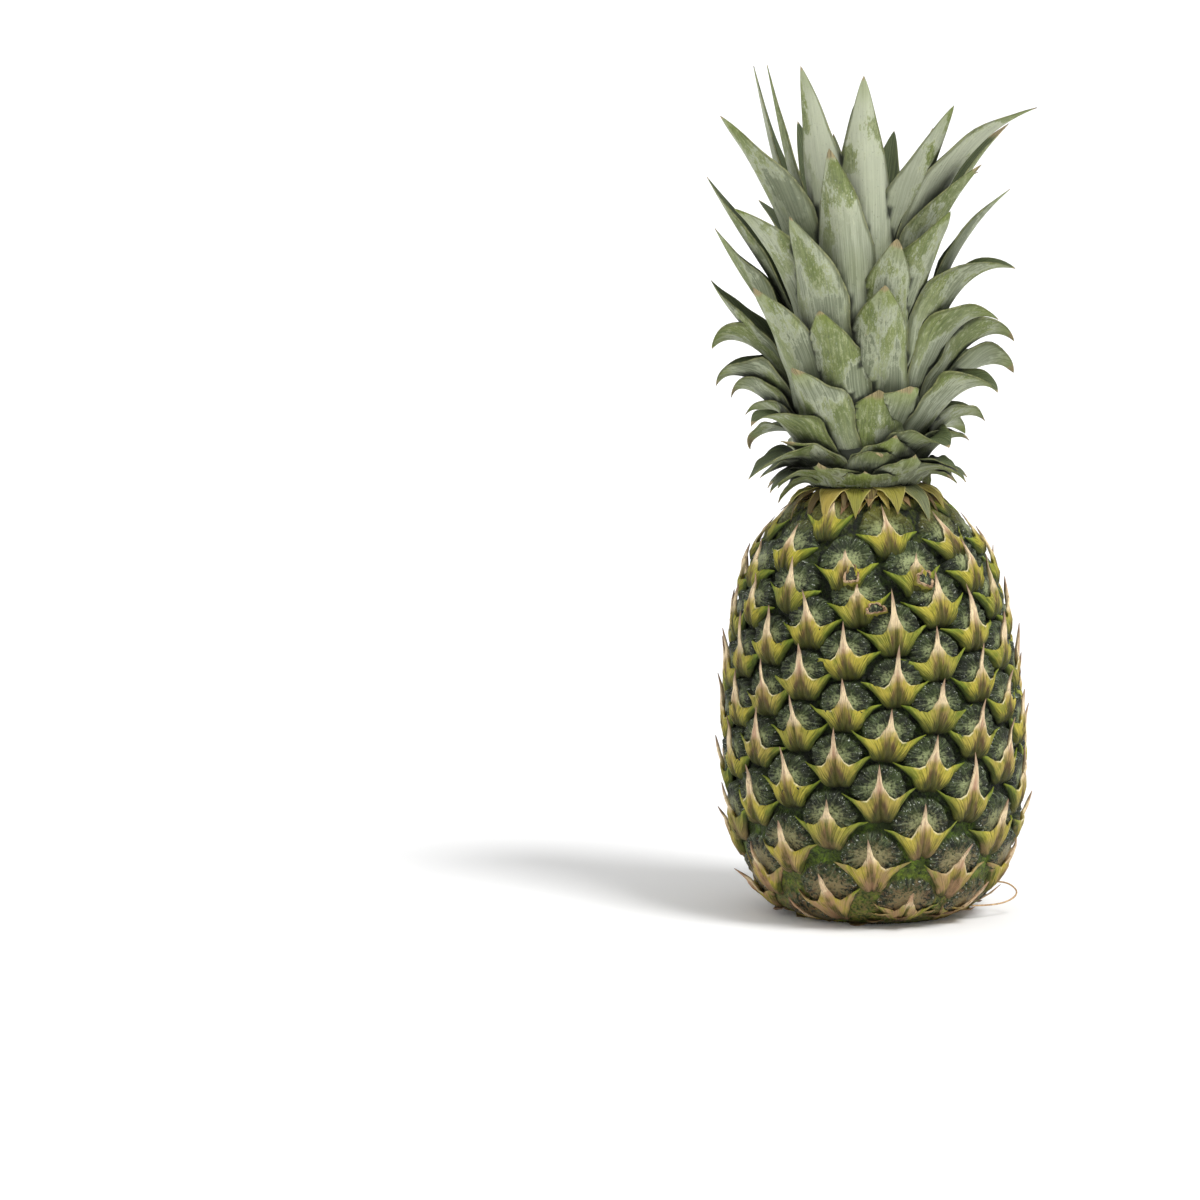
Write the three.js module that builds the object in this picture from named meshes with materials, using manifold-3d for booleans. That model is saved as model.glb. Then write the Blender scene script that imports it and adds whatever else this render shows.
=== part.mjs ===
// Pineapple: a fruit of fused eyes on a 13 and 8 lattice, a collar of small neck bracts and a leafy crown.
// Millimetres, +Z up. The origin is the middle of the flat base, and the open side of the view is -Y.

import * as THREE from 'three';
import { mergeVertices } from 'three/addons/utils/BufferGeometryUtils.js';
import Module from 'manifold-3d';

const wasm = await Module();
wasm.setup();

// ---------------------------------------------------------------- driving dimensions

const LEAN = THREE.MathUtils.degToRad(2.0);       // the whole fruit leans a little towards -X
const JOINT_GAP = 0.3;                            // clearance between neighbouring solids

const FRUIT_TOP = 170;                            // height of the flat shoulder that carries the collar
const FRUIT_PROFILE = [                           // height, radius of the flesh between the eyes
  [-60, 20], [-8, 22], [0, 32], [6, 42], [14, 47.2], [26, 53], [42, 57.2], [62, 58.8],
  [84, 58.2], [106, 55.8], [124, 52.6], [140, 47.6], [152, 42], [162, 36], [172, 27.5], [240, 22],
];

const EYE_TURN = THREE.MathUtils.degToRad(137.316);   // turn from one eye to the next
const EYE_PHASE = THREE.MathUtils.degToRad(8.1);      // azimuth of eye 0, from -Y towards +X
const EYE_FIRST = -112;
const EYE_LAST = 88;
const EYE_HEIGHT = [106.1, 0.955, 0.00036, 0.0000446]; // height of eye k as a cubic in k
const EYE_STRETCH = 0.109;                        // eyes are wider apart on one side
const EYE_STRETCH_SIDE = THREE.MathUtils.degToRad(35.3);
const EYE_LAG = 0.06;                             // the rows above the middle lag by this angle
const EYE_LEAD = 0.22;                            // and near the shoulder they run ahead by this
const EYE_SHOULDER = 0.03;                        // how fast the eyes spread out upwards near the shoulder
const EYE_SKEW = 8.72;                            // the rows of eyes run down on one side
const EYE_SKEW_SIDE = THREE.MathUtils.degToRad(330.9);
const EYE_FADE_BASE = 14;                         // relief fades over this height above the base
const EYE_FADE_TOP = 22;                          // and over this height below the shoulder

const COLLAR_BOTTOM = FRUIT_TOP + JOINT_GAP;
const COLLAR_TOP = 176;
const COLLAR_RADIUS = 25.5;
const COLLAR_BRACTS = 15;
const COLLAR_BRACT_REACH = 34;
const COLLAR_BRACT_WIDTH = 13;

const CROWN_BOTTOM = COLLAR_TOP + JOINT_GAP;
const CROWN_CLEARANCE = [                         // radius, height of the space kept free for the collar
  [0, 150], [36.5, 150], [36.5, 174.2], [26.5, CROWN_BOTTOM], [0, CROWN_BOTTOM],
];
const STEM_PROFILE = [                            // height, radius of the stem with its packed leaf bases
  [173, 21.5], [180, 25.5], [190, 26.5], [206, 21], [228, 11], [258, 2.5],
];
const LEAF_SINK = 3.5;                            // depth of a leaf root in the stem
const LEAF_COUNT = 70;
const LEAF_TURN = THREE.MathUtils.degToRad(138);
const LEAF_PHASE = THREE.MathUtils.degToRad(-147);
const LEAF_ROOT_LOW = 176.5;                      // height of the lowest root on the stem
const LEAF_ROOT_HIGH = 228;                       // and of the highest
const LEAF_TIP_LOW = 170;                         // height of the lowest leaf tip
const LEAF_TIP_HIGH = 328;                        // and of the highest
const LEAF_REACH_END = 35;                        // tip distance from the axis, lowest and highest leaves
const LEAF_REACH_MIDDLE = 29;                     // what the middle leaves reach beyond that
const LEAF_WIDTH_LOW = 28;
const LEAF_WIDTH_TOP = 18;
const LEAF_WIDTH_MIDDLE = 8;
const LEAF_THICK_RIB = 1.6;
const LEAF_THICK_EDGE = 0.6;
const BASE_LEAF_COUNT = 14;                       // small scales under the lowest leaves, on the same spiral
const BASE_LEAF_WIDTH = 25;
const BASE_LEAF_ROOT = [21.5, LEAF_ROOT_LOW];     // radius and height of the uppermost of their roots
const BLADE_STATIONS = [0, 0.32, 0.58, 0.8, 0.92];
const SHORT_STATIONS = [0, 0.45, 0.8];            // fewer stations do for a short blade
const BLADE_BEND_LEAST = 1 / 24;                  // curvature across a blade towards its tip
const BLADE_BEND_MOST = 1 / 17;                   // and where it wraps round the stem

// Leaves that stand off the rule: number, tip reach, tip height, extra turn and tip lift in degrees.
const LEAF_OWN = [
  [0, 36, 178, 0, -60], [1, 34, 187, 12, -75], [3, 40, 175, 6, -60], [4, 44, 181, 8, -35],
  [6, 45, 195, -13, 15], [7, 37, 177, 6, -60], [8, 43, 179, 26, -40], [9, 35, 196, -2, 62],
  [11, 55, 180, 6, -40], [12, 43, 192, 6, -45], [14, 53, 201, -45, -62], [16, 48, 205, 6, -50],
  [17, 43, 190, 4, -50], [19, 50, 224, 4, 35], [20, 50, 199, 6, -50], [21, 54, 212, 31, -70],
  [22, 34, 214, -5, 66], [24, 55, 256, 22, 52], [25, 56, 211, 6, -50], [26, 50, 190, 46, -95],
  [27, 44, 246, -6, 64], [28, 64, 218, -14, -50], [29, 60, 217, 6, -60], [30, 37, 215, -6, 66],
  [32, 52, 283, 13, 58], [33, 62, 231, 6, -45], [34, 64, 232, 26, -45], [35, 42, 255, 5, 68],
  [37, 62, 260, -24, 62], [38, 56, 240, 16, -30], [40, 42, 309, 9, 70], [41, 64, 260, -41, -15],
  [42, 59, 281, 6, 64], [43, 42, 273, -12, 64], [46, 61, 292, 6, 38], [48, 36, 337, 4, 76],
  [50, 62, 302, -18, 62], [51, 50, 283, -11, 54], [53, 38, 342, -2, 74], [54, 64, 319, -4, 42],
  [55, 61, 324, 52, 50], [56, 56, 301, 36, 42], [58, 42, 346, -47, 80], [59, 78, 322, -13, 15],
  [61, 20, 322, 0, 80], [63, 35, 345, 6, 80], [64, 52, 324, -4, 55], [66, 18, 316, 0, 82],
  [67, 52, 300, 6, 20], [68, 14, 314, 0, 84], [69, 9, 306, 0, 86],
];
const OWN_WIDTHS = {                              // width of leaves broader or narrower than the rule
  26: 0.5, 37: 0.8, 41: 1.1, 46: 0.7, 50: 0.85, 55: 1.15, 56: 1.15, 58: 0.75, 59: 1.2, 63: 0.75, 64: 1.15,
};
// The same for the small scales at the foot of the crown that show in front.
const BASE_OWN = [
  [-2, 44, 174, 0, -62], [-4, 37, 188, 10, 56], [-7, 38, 186, -4, 48], [-9, 46, 176, 3, -60],
  [-10, 36, 169, 0, -70], [-12, 33, 182, 0, 60],
];

// ---------------------------------------------------------------- small helpers

const mix = (a, b, t) => a + (b - a) * t;
const smooth = (t) => t * t * (3 - 2 * t);
const clamp = THREE.MathUtils.clamp;

function seeded(n) {
  const s = Math.sin(n * 12.9898) * 43758.5453;
  return s - Math.floor(s);
}

// A cubic through the points of an outline, read at one height.
function readOutline(points, z) {
  const last = points.length - 2;
  let i = 0;
  while (i < last && points[i + 1][0] < z) i += 1;
  const slope = (j) => {
    const a = points[Math.max(j - 1, 0)];
    const b = points[Math.min(j + 1, points.length - 1)];
    return (b[1] - a[1]) / (b[0] - a[0]);
  };
  const [z0, r0] = points[i];
  const [z1, r1] = points[i + 1];
  const step = z1 - z0;
  const t = clamp((z - z0) / step, 0, 1);
  const t2 = t * t;
  const t3 = t2 * t;
  return (2 * t3 - 3 * t2 + 1) * r0 + (t3 - 2 * t2 + t) * step * slope(i)
    + (3 * t2 - 2 * t3) * r1 + (t3 - t2) * step * slope(i + 1);
}

function toSolid(geometry) {
  const bare = geometry.index ? geometry.clone() : mergeVertices(geometry);
  bare.deleteAttribute('normal');
  bare.deleteAttribute('uv');
  const closed = mergeVertices(bare, 1e-4);
  return new wasm.Manifold(new wasm.Mesh({
    numProp: 3,
    vertProperties: new Float32Array(closed.attributes.position.array),
    triVerts: new Uint32Array(closed.index.array),
  }));
}

// Keeps the outer skin of the largest body: loose scraps are dropped and sealed hollows filled.
function fromSolid(solid) {
  const shells = solid.decompose().sort((a, b) => b.volume() - a.volume());
  const mesh = shells[0].getMesh();
  const geometry = new THREE.BufferGeometry();
  geometry.setAttribute('position', new THREE.BufferAttribute(new Float32Array(mesh.vertProperties), 3));
  geometry.setIndex(new THREE.BufferAttribute(new Uint32Array(mesh.triVerts), 1));
  return geometry;
}

function meshFrom(points, triangles) {
  const geometry = new THREE.BufferGeometry();
  geometry.setAttribute('position', new THREE.BufferAttribute(new Float32Array(points.flat()), 3));
  geometry.setIndex(triangles.flat());
  return geometry;
}

// ---------------------------------------------------------------- fruit

// One eye with its bract, in parts of the lattice cell: across (right is +), up, relief in mm.
// The wing tips (right, left) are shared with the bracts of the eyes 8 and 13 further on.
const EYE = {
  wingRight: [0.66, 0.07, 0.7],
  wingLeft: [-0.66, 0.07, 0.7],
  middle: [0, -0.06, 4.0],
  ridgeLeft: [-0.32, -0.03, 2.9],
  ridgeRight: [0.32, -0.03, 2.9],
  lobeLeft: [-0.25, -0.33, 2.9],
  lobeRight: [0.25, -0.33, 2.9],
  notch: [0, -0.28, 2.8],
  under: [0, -0.36, -0.5],
  sideLeft: [-0.5, -0.19, -0.3],
  sideRight: [0.5, -0.19, -0.3],
  spineLeft: [-0.15, 0.06, 3.6],
  spineRight: [0.15, 0.06, 3.6],
  footLeft: [-0.23, 0.09, 0.7],
  footRight: [0.23, 0.09, 0.7],
  footBack: [0, 0.28, 2.2],
  tip: [0, 0.62, 6.2],
  domeLeft: [-0.36, 0.24, 2.4],
  domeRight: [0.36, 0.24, 2.4],
  domeTop: [0, 0.47, 2.0],
};

// Triangles of one cell. A name alone is a point of this eye, name+8 one of the eye 8 further on.
const EYE_FACES = [
  'middle ridgeLeft lobeLeft', 'middle lobeLeft notch', 'middle notch lobeRight',
  'middle lobeRight ridgeRight', 'middle ridgeRight spineRight', 'middle spineRight spineLeft',
  'middle spineLeft ridgeLeft',
  'wingLeft sideLeft ridgeLeft', 'sideLeft lobeLeft ridgeLeft', 'sideLeft wingRight-8 lobeLeft',
  'wingLeft ridgeLeft footLeft', 'ridgeLeft spineLeft footLeft',
  'wingRight ridgeRight sideRight', 'sideRight ridgeRight lobeRight', 'sideRight lobeRight wingLeft-13',
  'wingRight footRight ridgeRight', 'ridgeRight footRight spineRight',
  'wingRight-8 under lobeLeft', 'lobeLeft under notch', 'notch under lobeRight',
  'under wingLeft-13 lobeRight',
  'spineLeft spineRight tip', 'spineRight footRight tip', 'footRight footBack tip',
  'footBack footLeft tip', 'footLeft spineLeft tip',
  'wingLeft footLeft domeLeft', 'footLeft footBack domeLeft', 'footBack domeTop domeLeft',
  'footBack domeRight domeTop', 'footBack footRight domeRight', 'footRight wingRight domeRight',
  'wingRight sideLeft+8 domeRight', 'sideLeft+8 wingLeft+8 domeRight', 'wingLeft+8 domeTop domeRight',
  'wingLeft+8 under+21 domeTop', 'under+21 wingRight+13 domeTop', 'wingRight+13 domeLeft domeTop',
  'wingRight+13 sideRight+13 domeLeft', 'sideRight+13 wingLeft domeLeft',
];

const TURN_8 = 8 * EYE_TURN - 3 * 2 * Math.PI;
const TURN_13 = 13 * EYE_TURN - 5 * 2 * Math.PI;

function eyeHeight(k) {
  const [a, b, c, d] = EYE_HEIGHT;
  return a + b * k + c * k * k + d * Math.min(k, 0) ** 3 + EYE_SHOULDER * Math.max(k - 45, 0) ** 2;
}

function eyeDrift(k) {
  return EYE_LEAD * smooth(clamp((k - 30) / 22, 0, 1)) - EYE_LAG * smooth(clamp(k / 10, 0, 1));
}

// A point of the skin: eye number, place in its cell and relief, leaned with the fruit.
function skinPoint(eye, across, up, relief) {
  const along8 = across / 2 + up;
  const along13 = up - across / 2;
  const count = eye + 8 * along8 + 13 * along13;
  const even = EYE_PHASE + eye * EYE_TURN + along8 * TURN_8 + along13 * TURN_13 + eyeDrift(count);
  const turn = even + EYE_STRETCH * Math.sin(even - EYE_STRETCH_SIDE);
  const z = eyeHeight(count) - EYE_SKEW * Math.cos(turn - EYE_SKEW_SIDE);
  const radius = readOutline(FRUIT_PROFILE, z);
  const slope = readOutline(FRUIT_PROFILE, z + 0.5) - readOutline(FRUIT_PROFILE, z - 0.5);
  const fade = clamp(z / EYE_FADE_BASE, 0.15, 1) * clamp((FRUIT_TOP - z) / EYE_FADE_TOP, 0.35, 1);
  const lift = relief * fade / Math.hypot(1, slope);
  const r = radius + lift;
  const height = z - lift * slope;
  const x = r * Math.sin(turn);
  const y = -r * Math.cos(turn);
  return [x * Math.cos(LEAN) - height * Math.sin(LEAN), y, x * Math.sin(LEAN) + height * Math.cos(LEAN)];
}

function makeFruit() {
  const names = Object.keys(EYE);
  const count = EYE_LAST - EYE_FIRST + 1;
  const points = [];
  for (let eye = EYE_FIRST; eye <= EYE_LAST; eye += 1) {
    const stretch = 0.9 + 0.2 * seeded(eye + 300);
    const side = 0.12 * (seeded(eye + 700) - 0.5);
    for (const name of names) {
      const [across, up, relief] = EYE[name];
      const isTip = name === 'tip';
      points.push(skinPoint(eye, across + (isTip ? side : 0), up, isTip ? relief * stretch : relief));
    }
  }
  const bottomEnd = points.push([0, 0, -80]) - 1;
  const topEnd = points.push([0, 0, 260]) - 1;

  const find = (word, eye) => {
    const [, name, shift] = word.match(/^([a-zA-Z]+)([+-]\d+)?$/);
    const at = eye + Number(shift ?? 0) - EYE_FIRST;
    if (at < 0) return bottomEnd;
    return at >= count ? topEnd : at * names.length + names.indexOf(name);
  };
  const triangles = [];
  for (let eye = EYE_FIRST - 21; eye <= EYE_LAST + 21; eye += 1) {
    for (const face of EYE_FACES) {
      const [a, b, c] = face.split(' ').map((word) => find(word, eye));
      if (a !== b && b !== c && c !== a) triangles.push([a, b, c]);
    }
  }

  const size = 400;
  const above = new THREE.BoxGeometry(size, size, size).translate(0, 0, size / 2);
  const below = new THREE.BoxGeometry(size, size, size).translate(0, 0, FRUIT_TOP - size / 2).rotateY(-LEAN);
  const whole = toSolid(meshFrom(points, triangles));
  return fromSolid(whole.intersect(toSolid(above)).intersect(toSolid(below)));
}

// ---------------------------------------------------------------- leaves

// Height and radius of a cubic from the root to the tip, with its direction.
function centreLine(root, tip, rootLift, tipLift) {
  const chord = Math.hypot(tip[0] - root[0], tip[1] - root[1]);
  const a = chord * 0.42;
  const b = chord * 0.36;
  return new THREE.CubicBezierCurve(
    new THREE.Vector2(...root),
    new THREE.Vector2(root[0] + a * Math.cos(rootLift), root[1] + a * Math.sin(rootLift)),
    new THREE.Vector2(tip[0] - b * Math.cos(tipLift), tip[1] - b * Math.sin(tipLift)),
    new THREE.Vector2(...tip),
  );
}

// A pointed blade along a line in the plane of one azimuth, channelled round the stem. A slim one narrows
// from its root on, the others only towards the tip.
function makeBlade(line, turn, width, slim, rib, edge, stations) {
  const points = [];
  const place = (r, side, z) => [
    r * Math.sin(turn) + side * Math.cos(turn),
    -r * Math.cos(turn) + side * Math.sin(turn),
    z,
  ];
  for (const s of stations) {
    const at = line.getPoint(s);
    const way = line.getTangent(s);
    const taper = mix(2.05, 1.2, slim) * (1 - s) ** mix(0.8, 1.1, slim);
    const half = width / 2 * Math.min(1, taper, 0.4 + 2 * s);
    const bend = clamp(way.y / at.x, BLADE_BEND_LEAST, BLADE_BEND_MOST);
    const raise = bend * half * half / 2;
    const across = half * (1 - bend * bend * half * half / 6);
    for (const [side, lift] of [
      [-across, raise + edge / 2], [0, rib / 2], [across, raise + edge / 2],
      [across, raise - edge / 2], [0, -rib / 2], [-across, raise - edge / 2],
    ]) {
      points.push(place(at.x - way.y * lift, side, at.y + way.x * lift));
    }
  }
  const end = line.getPoint(1);
  points.push(place(end.x, 0, end.y));

  const ring = 6;
  const triangles = [[0, 1, 5], [1, 4, 5], [1, 2, 4], [2, 3, 4]];
  for (let i = 0; i < stations.length; i += 1) {
    for (let j = 0; j < ring; j += 1) {
      const a = i * ring + j;
      const b = i * ring + (j + 1) % ring;
      if (i === stations.length - 1) {
        triangles.push([b, a, points.length - 1]);
      } else {
        triangles.push([b, a, a + ring], [b, a + ring, b + ring]);
      }
    }
  }
  return toSolid(meshFrom(points, triangles));
}

// Tip reach, tip height, extra turn and tip lift of a leaf, by the general rule.
function leafByRule(n) {
  const u = n / (LEAF_COUNT - 1);
  const shift = seeded(n) - 0.5;
  return [
    LEAF_REACH_END + LEAF_REACH_MIDDLE * Math.sin(Math.PI * u) + 6 * shift,
    mix(LEAF_TIP_LOW, LEAF_TIP_HIGH, smooth(u)) + 10 * (seeded(n + 90) - 0.5),
    8 * shift,
    mix(-62, 72, smooth(u)),
  ];
}

function makeCrown() {
  const degrees = THREE.MathUtils.degToRad;
  const outline = STEM_PROFILE.map(([z, r]) => new THREE.Vector2(r, z));
  const ends = [outline[0], outline[outline.length - 1]].map((p) => new THREE.Vector2(0, p.y));
  const stem = new THREE.LatheGeometry([ends[0], ...outline, ends[1]], 12);
  const solids = [toSolid(stem.rotateX(Math.PI / 2))];
  for (let n = 0; n < LEAF_COUNT; n += 1) {
    const u = n / (LEAF_COUNT - 1);
    const own = LEAF_OWN.find((row) => row[0] === n)?.slice(1);
    const [reach, height, extraTurn, tipLift] = own ?? leafByRule(n);
    const turn = LEAF_PHASE + n * LEAF_TURN + degrees(extraTurn);
    const rootHeight = mix(LEAF_ROOT_LOW, LEAF_ROOT_HIGH, u ** 1.3);
    const root = [readOutline(STEM_PROFILE, rootHeight) - LEAF_SINK, rootHeight];
    const line = centreLine(root, [reach, height], degrees(mix(58, 78, u ** 0.6)), degrees(tipLift));
    const full = mix(LEAF_WIDTH_LOW, LEAF_WIDTH_TOP, u) + LEAF_WIDTH_MIDDLE * Math.sin(Math.PI * u);
    const width = full * (OWN_WIDTHS[n] ?? 1);
    const slim = 1 - smooth(Math.min(u * 2.2, 1));
    solids.push(makeBlade(line, turn, width, slim, LEAF_THICK_RIB, LEAF_THICK_EDGE, BLADE_STATIONS));
  }
  for (let n = -BASE_LEAF_COUNT; n < 0; n += 1) {
    const own = BASE_OWN.find((row) => row[0] === n)?.slice(1);
    const byRule = [35 + 6 * seeded(n + 50), 173 + 8 * seeded(n + 70), 0, -55];
    const [reach, height, extraTurn, tipLift] = own ?? byRule;
    const turn = LEAF_PHASE + n * LEAF_TURN + degrees(extraTurn);
    const low = -n / BASE_LEAF_COUNT;
    const root = [BASE_LEAF_ROOT[0] - low, BASE_LEAF_ROOT[1] - 1.9 * low];
    const line = centreLine(root, [reach, height], degrees(60), degrees(tipLift));
    const shape = [turn, BASE_LEAF_WIDTH, 0.85, LEAF_THICK_RIB, LEAF_THICK_EDGE, SHORT_STATIONS];
    solids.push(makeBlade(line, ...shape));
  }
  const clearance = CROWN_CLEARANCE.map(([r, z]) => new THREE.Vector2(r, z));
  const free = toSolid(new THREE.LatheGeometry(clearance, 20).rotateX(Math.PI / 2));
  return fromSolid(wasm.Manifold.union(solids).subtract(free));
}

function makeCollar() {
  const ring = new THREE.LatheGeometry([
    new THREE.Vector2(0, COLLAR_BOTTOM),
    new THREE.Vector2(COLLAR_RADIUS, COLLAR_BOTTOM),
    new THREE.Vector2(COLLAR_RADIUS, COLLAR_TOP - 2.5),
    new THREE.Vector2(COLLAR_RADIUS - 4, COLLAR_TOP),
    new THREE.Vector2(0, COLLAR_TOP),
  ], 20).rotateX(Math.PI / 2);
  const solids = [toSolid(ring)];
  for (let n = 0; n < COLLAR_BRACTS; n += 1) {
    const turn = 2 * Math.PI * (n + 0.4 * (seeded(n + 40) - 0.5)) / COLLAR_BRACTS;
    const reach = COLLAR_BRACT_REACH + 3 * (seeded(n + 60) - 0.5);
    const height = COLLAR_BOTTOM + 0.8 + 1.2 * seeded(n + 80);
    const line = centreLine([COLLAR_RADIUS - 6, COLLAR_TOP - 2.5], [reach, height], 0.2, -0.9);
    solids.push(makeBlade(line, turn, COLLAR_BRACT_WIDTH, 0, 1.4, 0.7, [0, 0.45, 0.75]));
  }
  return fromSolid(wasm.Manifold.union(solids));
}

// ---------------------------------------------------------------- assembly

function namedMesh(name, geometry, colour, roughness) {
  const material = new THREE.MeshStandardMaterial({ color: colour, roughness, metalness: 0 });
  const mesh = new THREE.Mesh(geometry, material);
  mesh.name = name;
  return mesh;
}

const pineapple = new THREE.Group();
pineapple.add(namedMesh('fruit', makeFruit(), 0x4d5a24, 0.6));

const leaned = new THREE.Group();
leaned.rotation.y = -LEAN;
leaned.add(namedMesh('neck_bracts', makeCollar(), 0x9aa03a, 0.65));
leaned.add(namedMesh('crown', makeCrown(), 0x5f6f55, 0.55));
pineapple.add(leaned);

export default pineapple;
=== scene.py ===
"""Pineapple: a ripe fruit of fused eyes with star-shaped bracts, a drooping neck ring and a leafy crown.

Lengths are worked out in millimetres in the fruit's own upright frame, then leaned and written in metres.
"""

import math

import bmesh
import bpy
import numpy as np
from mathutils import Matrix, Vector
from mathutils.bvhtree import BVHTree


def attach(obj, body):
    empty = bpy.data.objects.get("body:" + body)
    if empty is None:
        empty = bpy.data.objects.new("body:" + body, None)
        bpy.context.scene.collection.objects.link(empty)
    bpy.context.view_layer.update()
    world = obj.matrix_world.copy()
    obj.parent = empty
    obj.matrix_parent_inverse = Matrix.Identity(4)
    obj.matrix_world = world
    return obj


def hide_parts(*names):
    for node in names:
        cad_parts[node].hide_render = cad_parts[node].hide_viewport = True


bl_info = {
    "name": "Pineapple",
    "version": (1, 0, 0),
    "blender": (4, 5, 0),
    "location": "View3D > Sidebar > Pineapple",
    "description": "Dresses the solid pineapple with eyes, bracts, neck leaves and crown",
    "category": "Add Mesh",
}

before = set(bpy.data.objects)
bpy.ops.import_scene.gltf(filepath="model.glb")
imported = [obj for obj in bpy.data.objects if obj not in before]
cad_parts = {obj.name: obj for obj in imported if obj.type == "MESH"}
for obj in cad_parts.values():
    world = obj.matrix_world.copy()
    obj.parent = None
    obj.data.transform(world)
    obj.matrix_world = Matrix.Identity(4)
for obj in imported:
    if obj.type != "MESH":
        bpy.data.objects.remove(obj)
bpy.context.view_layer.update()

# ---------------------------------------------------------------- driving dimensions, millimetres

MM = 0.001
LEAN = math.radians(2.0)

FRUIT_TOP = 170.0
# The outline of the fruit under its domes: height, radius.
FRUIT_PROFILE = np.array([
    (-60, 20), (-8, 22), (0, 32), (6, 42), (14, 47.2), (26, 53), (42, 57.2), (62, 58.8),
    (84, 58.2), (106, 55.8), (124, 52.6), (140, 47.6), (152, 42), (162, 36), (172, 27.5), (240, 22),
])
FADE_BASE = 14.0        # relief grows to its full height over this much above the foot
FADE_TOP = 22.0         # and over this much below the flat top

# The eyes follow one spiral, and are numbered upwards from one some way above the middle of the fruit.
EYE_FIRST = -96
EYE_LAST = 76
EYE_TURN = math.radians(137.316)
EYE_PHASE = math.radians(8.1)
# The height of eye 0, then what an eye's number and its square add, and its cube where it is negative.
EYE_HEIGHT = (106.1, 0.955, 0.00036, 0.0000446)
EYE_SHOULDER = 0.03     # what the square of the number past 45 adds near the shoulder
EYE_STRETCH = 0.109     # the cells are wider on one side of the fruit, by this share
EYE_STRETCH_SIDE = math.radians(35.3)
EYE_LAG = 0.06          # the rows above eye 0 lag by this angle, and near the shoulder run ahead
EYE_LEAD = 0.22
EYE_SKEW = 8.72         # the rows dip by this much on one side and rise on the other
EYE_SKEW_SIDE = math.radians(330.9)
TURN_8 = 8 * EYE_TURN - 3 * 2 * math.pi             # from an eye to its neighbours, 8 and 13 numbers on
TURN_13 = 13 * EYE_TURN - 5 * 2 * math.pi

SHIFT = 0.25            # where a cell of the skin starts, in lattice steps from its wing line
CELL_WIDE = 17.5        # one step across the lattice in the middle of the fruit
CELL_HIGH = 20.0        # and one step up it
DOME_CENTRE = 3.6       # height of a dome's middle above its wing line
DOME_WIDE = 11.0
DOME_HIGH = 7.6
DOME_TAPER = 0.3        # how much narrower its upper edge is
DOME_POWER = 2.4        # 2 would make it an oval, and more makes it squarer
DOME_RISE = 2.4
DOME_EDGE = 0.8         # where it starts to fall, as a share of the way to its rim
DOME_FALL = 0.22
GROOVE_DEPTH = -1.4
GROOVE_DEPTH_LOW = 0.6  # near the foot
SKIN_STEPS = 22

# Half of a bract, from the middle outwards: distance across, upper edge, lower edge.
BRACT_OUTLINE = (
    (0.0, 15.0, -8.7), (0.6, 10.8, -8.7), (1.0, 6.8, -8.8), (1.6, 4.6, -8.8), (2.5, 2.9, -8.9),
    (3.4, 0.9, -8.9), (5.2, -0.4, -8.7), (7.3, -0.1, -7.6), (8.6, 0.3, -4.4), (11.2, 1.1, -1.0),
    (14.5, 2.3, 1.8),
)
BRACT_ROWS = (0.0, 0.18, 0.5, 0.8, 1.0)
BRACT_SWELL = (0.0, 0.62, 0.93, 1.0, 0.97)      # how far each row has risen from the lower edge
BRACT_FOOT = -0.7       # relief of the lower edge in the middle
BRACT_RIDGE = 4.0       # and of the ridge above it
BRACT_WING_DROP = 3.0   # how much lower the ridge is at the end of a wing
BRACT_THICKNESS = 1.3
BRACT_RIM_THICKNESS = 0.35
BRACT_TILT = 0.24       # radians between the two that lean most, one way and the other
BRACT_TOP = 175.0       # no eye above this has a bract
SPINE_WIDTH = 3.4
SPINE_LENGTH = 15.0
SPINE_SHORTEST = 0.72   # shares of that length: the shortest spine, and what the longest adds to it
SPINE_SPREAD = 0.44
SPINE_SHOULDER = 0.68   # what is left of either near the shoulder, near the foot and on a torn bract
SPINE_FOOT = 0.62
SPINE_TORN = 0.35
SPINE_ASIDE = 2.4       # how far the tips differ, sideways and in height off the skin
SPINE_CURL = 3.4

# Eyes whose bract is torn: the middle and the half size of the hole, across and up.
TORN_EYES = {47: (2.4, -2.6, 2.3, 3.3), 42: (2.6, -2.6, 2.9, 3.0), 34: (6.6, -2.6, 3.0, 1.9)}
# A torn rim, from its outer foot over its edge to the dome inside: share of the half size, relief.
TORN_PROFILE = ((1.5, 1.2), (1.36, 3.4), (1.22, 4.9), (1.08, 5.9), (0.99, 5.6), (0.88, 4.2), (0.4, 4.7))
TORN_CORNERS = 26

# The outline of the stem inside the crown: height, radius.
CROWN_STEM = np.array([(173, 21.5), (180, 25.5), (190, 26.5), (206, 21), (228, 11), (258, 2.5)])
STEM_FOOT = 19.0         # its radius where it meets the fruit
STEM_CORNERS = 32
LEAF_SINK = 3.5          # how far inside that outline a leaf starts
LEAF_COUNT = 70
LEAF_TURN = math.radians(138)
LEAF_PHASE = math.radians(-147)
LEAF_ROOT_LOW = 176.5
LEAF_ROOT_HIGH = 228.0
LEAF_TIP_LOW = 170.0
LEAF_TIP_HIGH = 328.0
LEAF_LIFT_LOW = 58.0     # degrees, as the next three: how steeply the leaves leave the stem
LEAF_LIFT_TOP = 78.0
TIP_LIFT_LOW = -62.0     # and how steeply their tips rise, or hang
TIP_LIFT_TOP = 72.0
LEAF_REACH_END = 35.0    # of the lowest and the highest tips from the fruit's axis
LEAF_REACH_MIDDLE = 29.0     # and how much farther the leaves between them reach
LEAF_WIDTH_LOW = 28.0
LEAF_WIDTH_TOP = 18.0
LEAF_WIDTH_MIDDLE = 8.0
LEAF_RIB = 1.5           # thickness in the middle and at the edges
LEAF_EDGE = 0.5
LEAF_TWIST = 0.5         # radians between the tips that are twisted most, one way and the other
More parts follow.
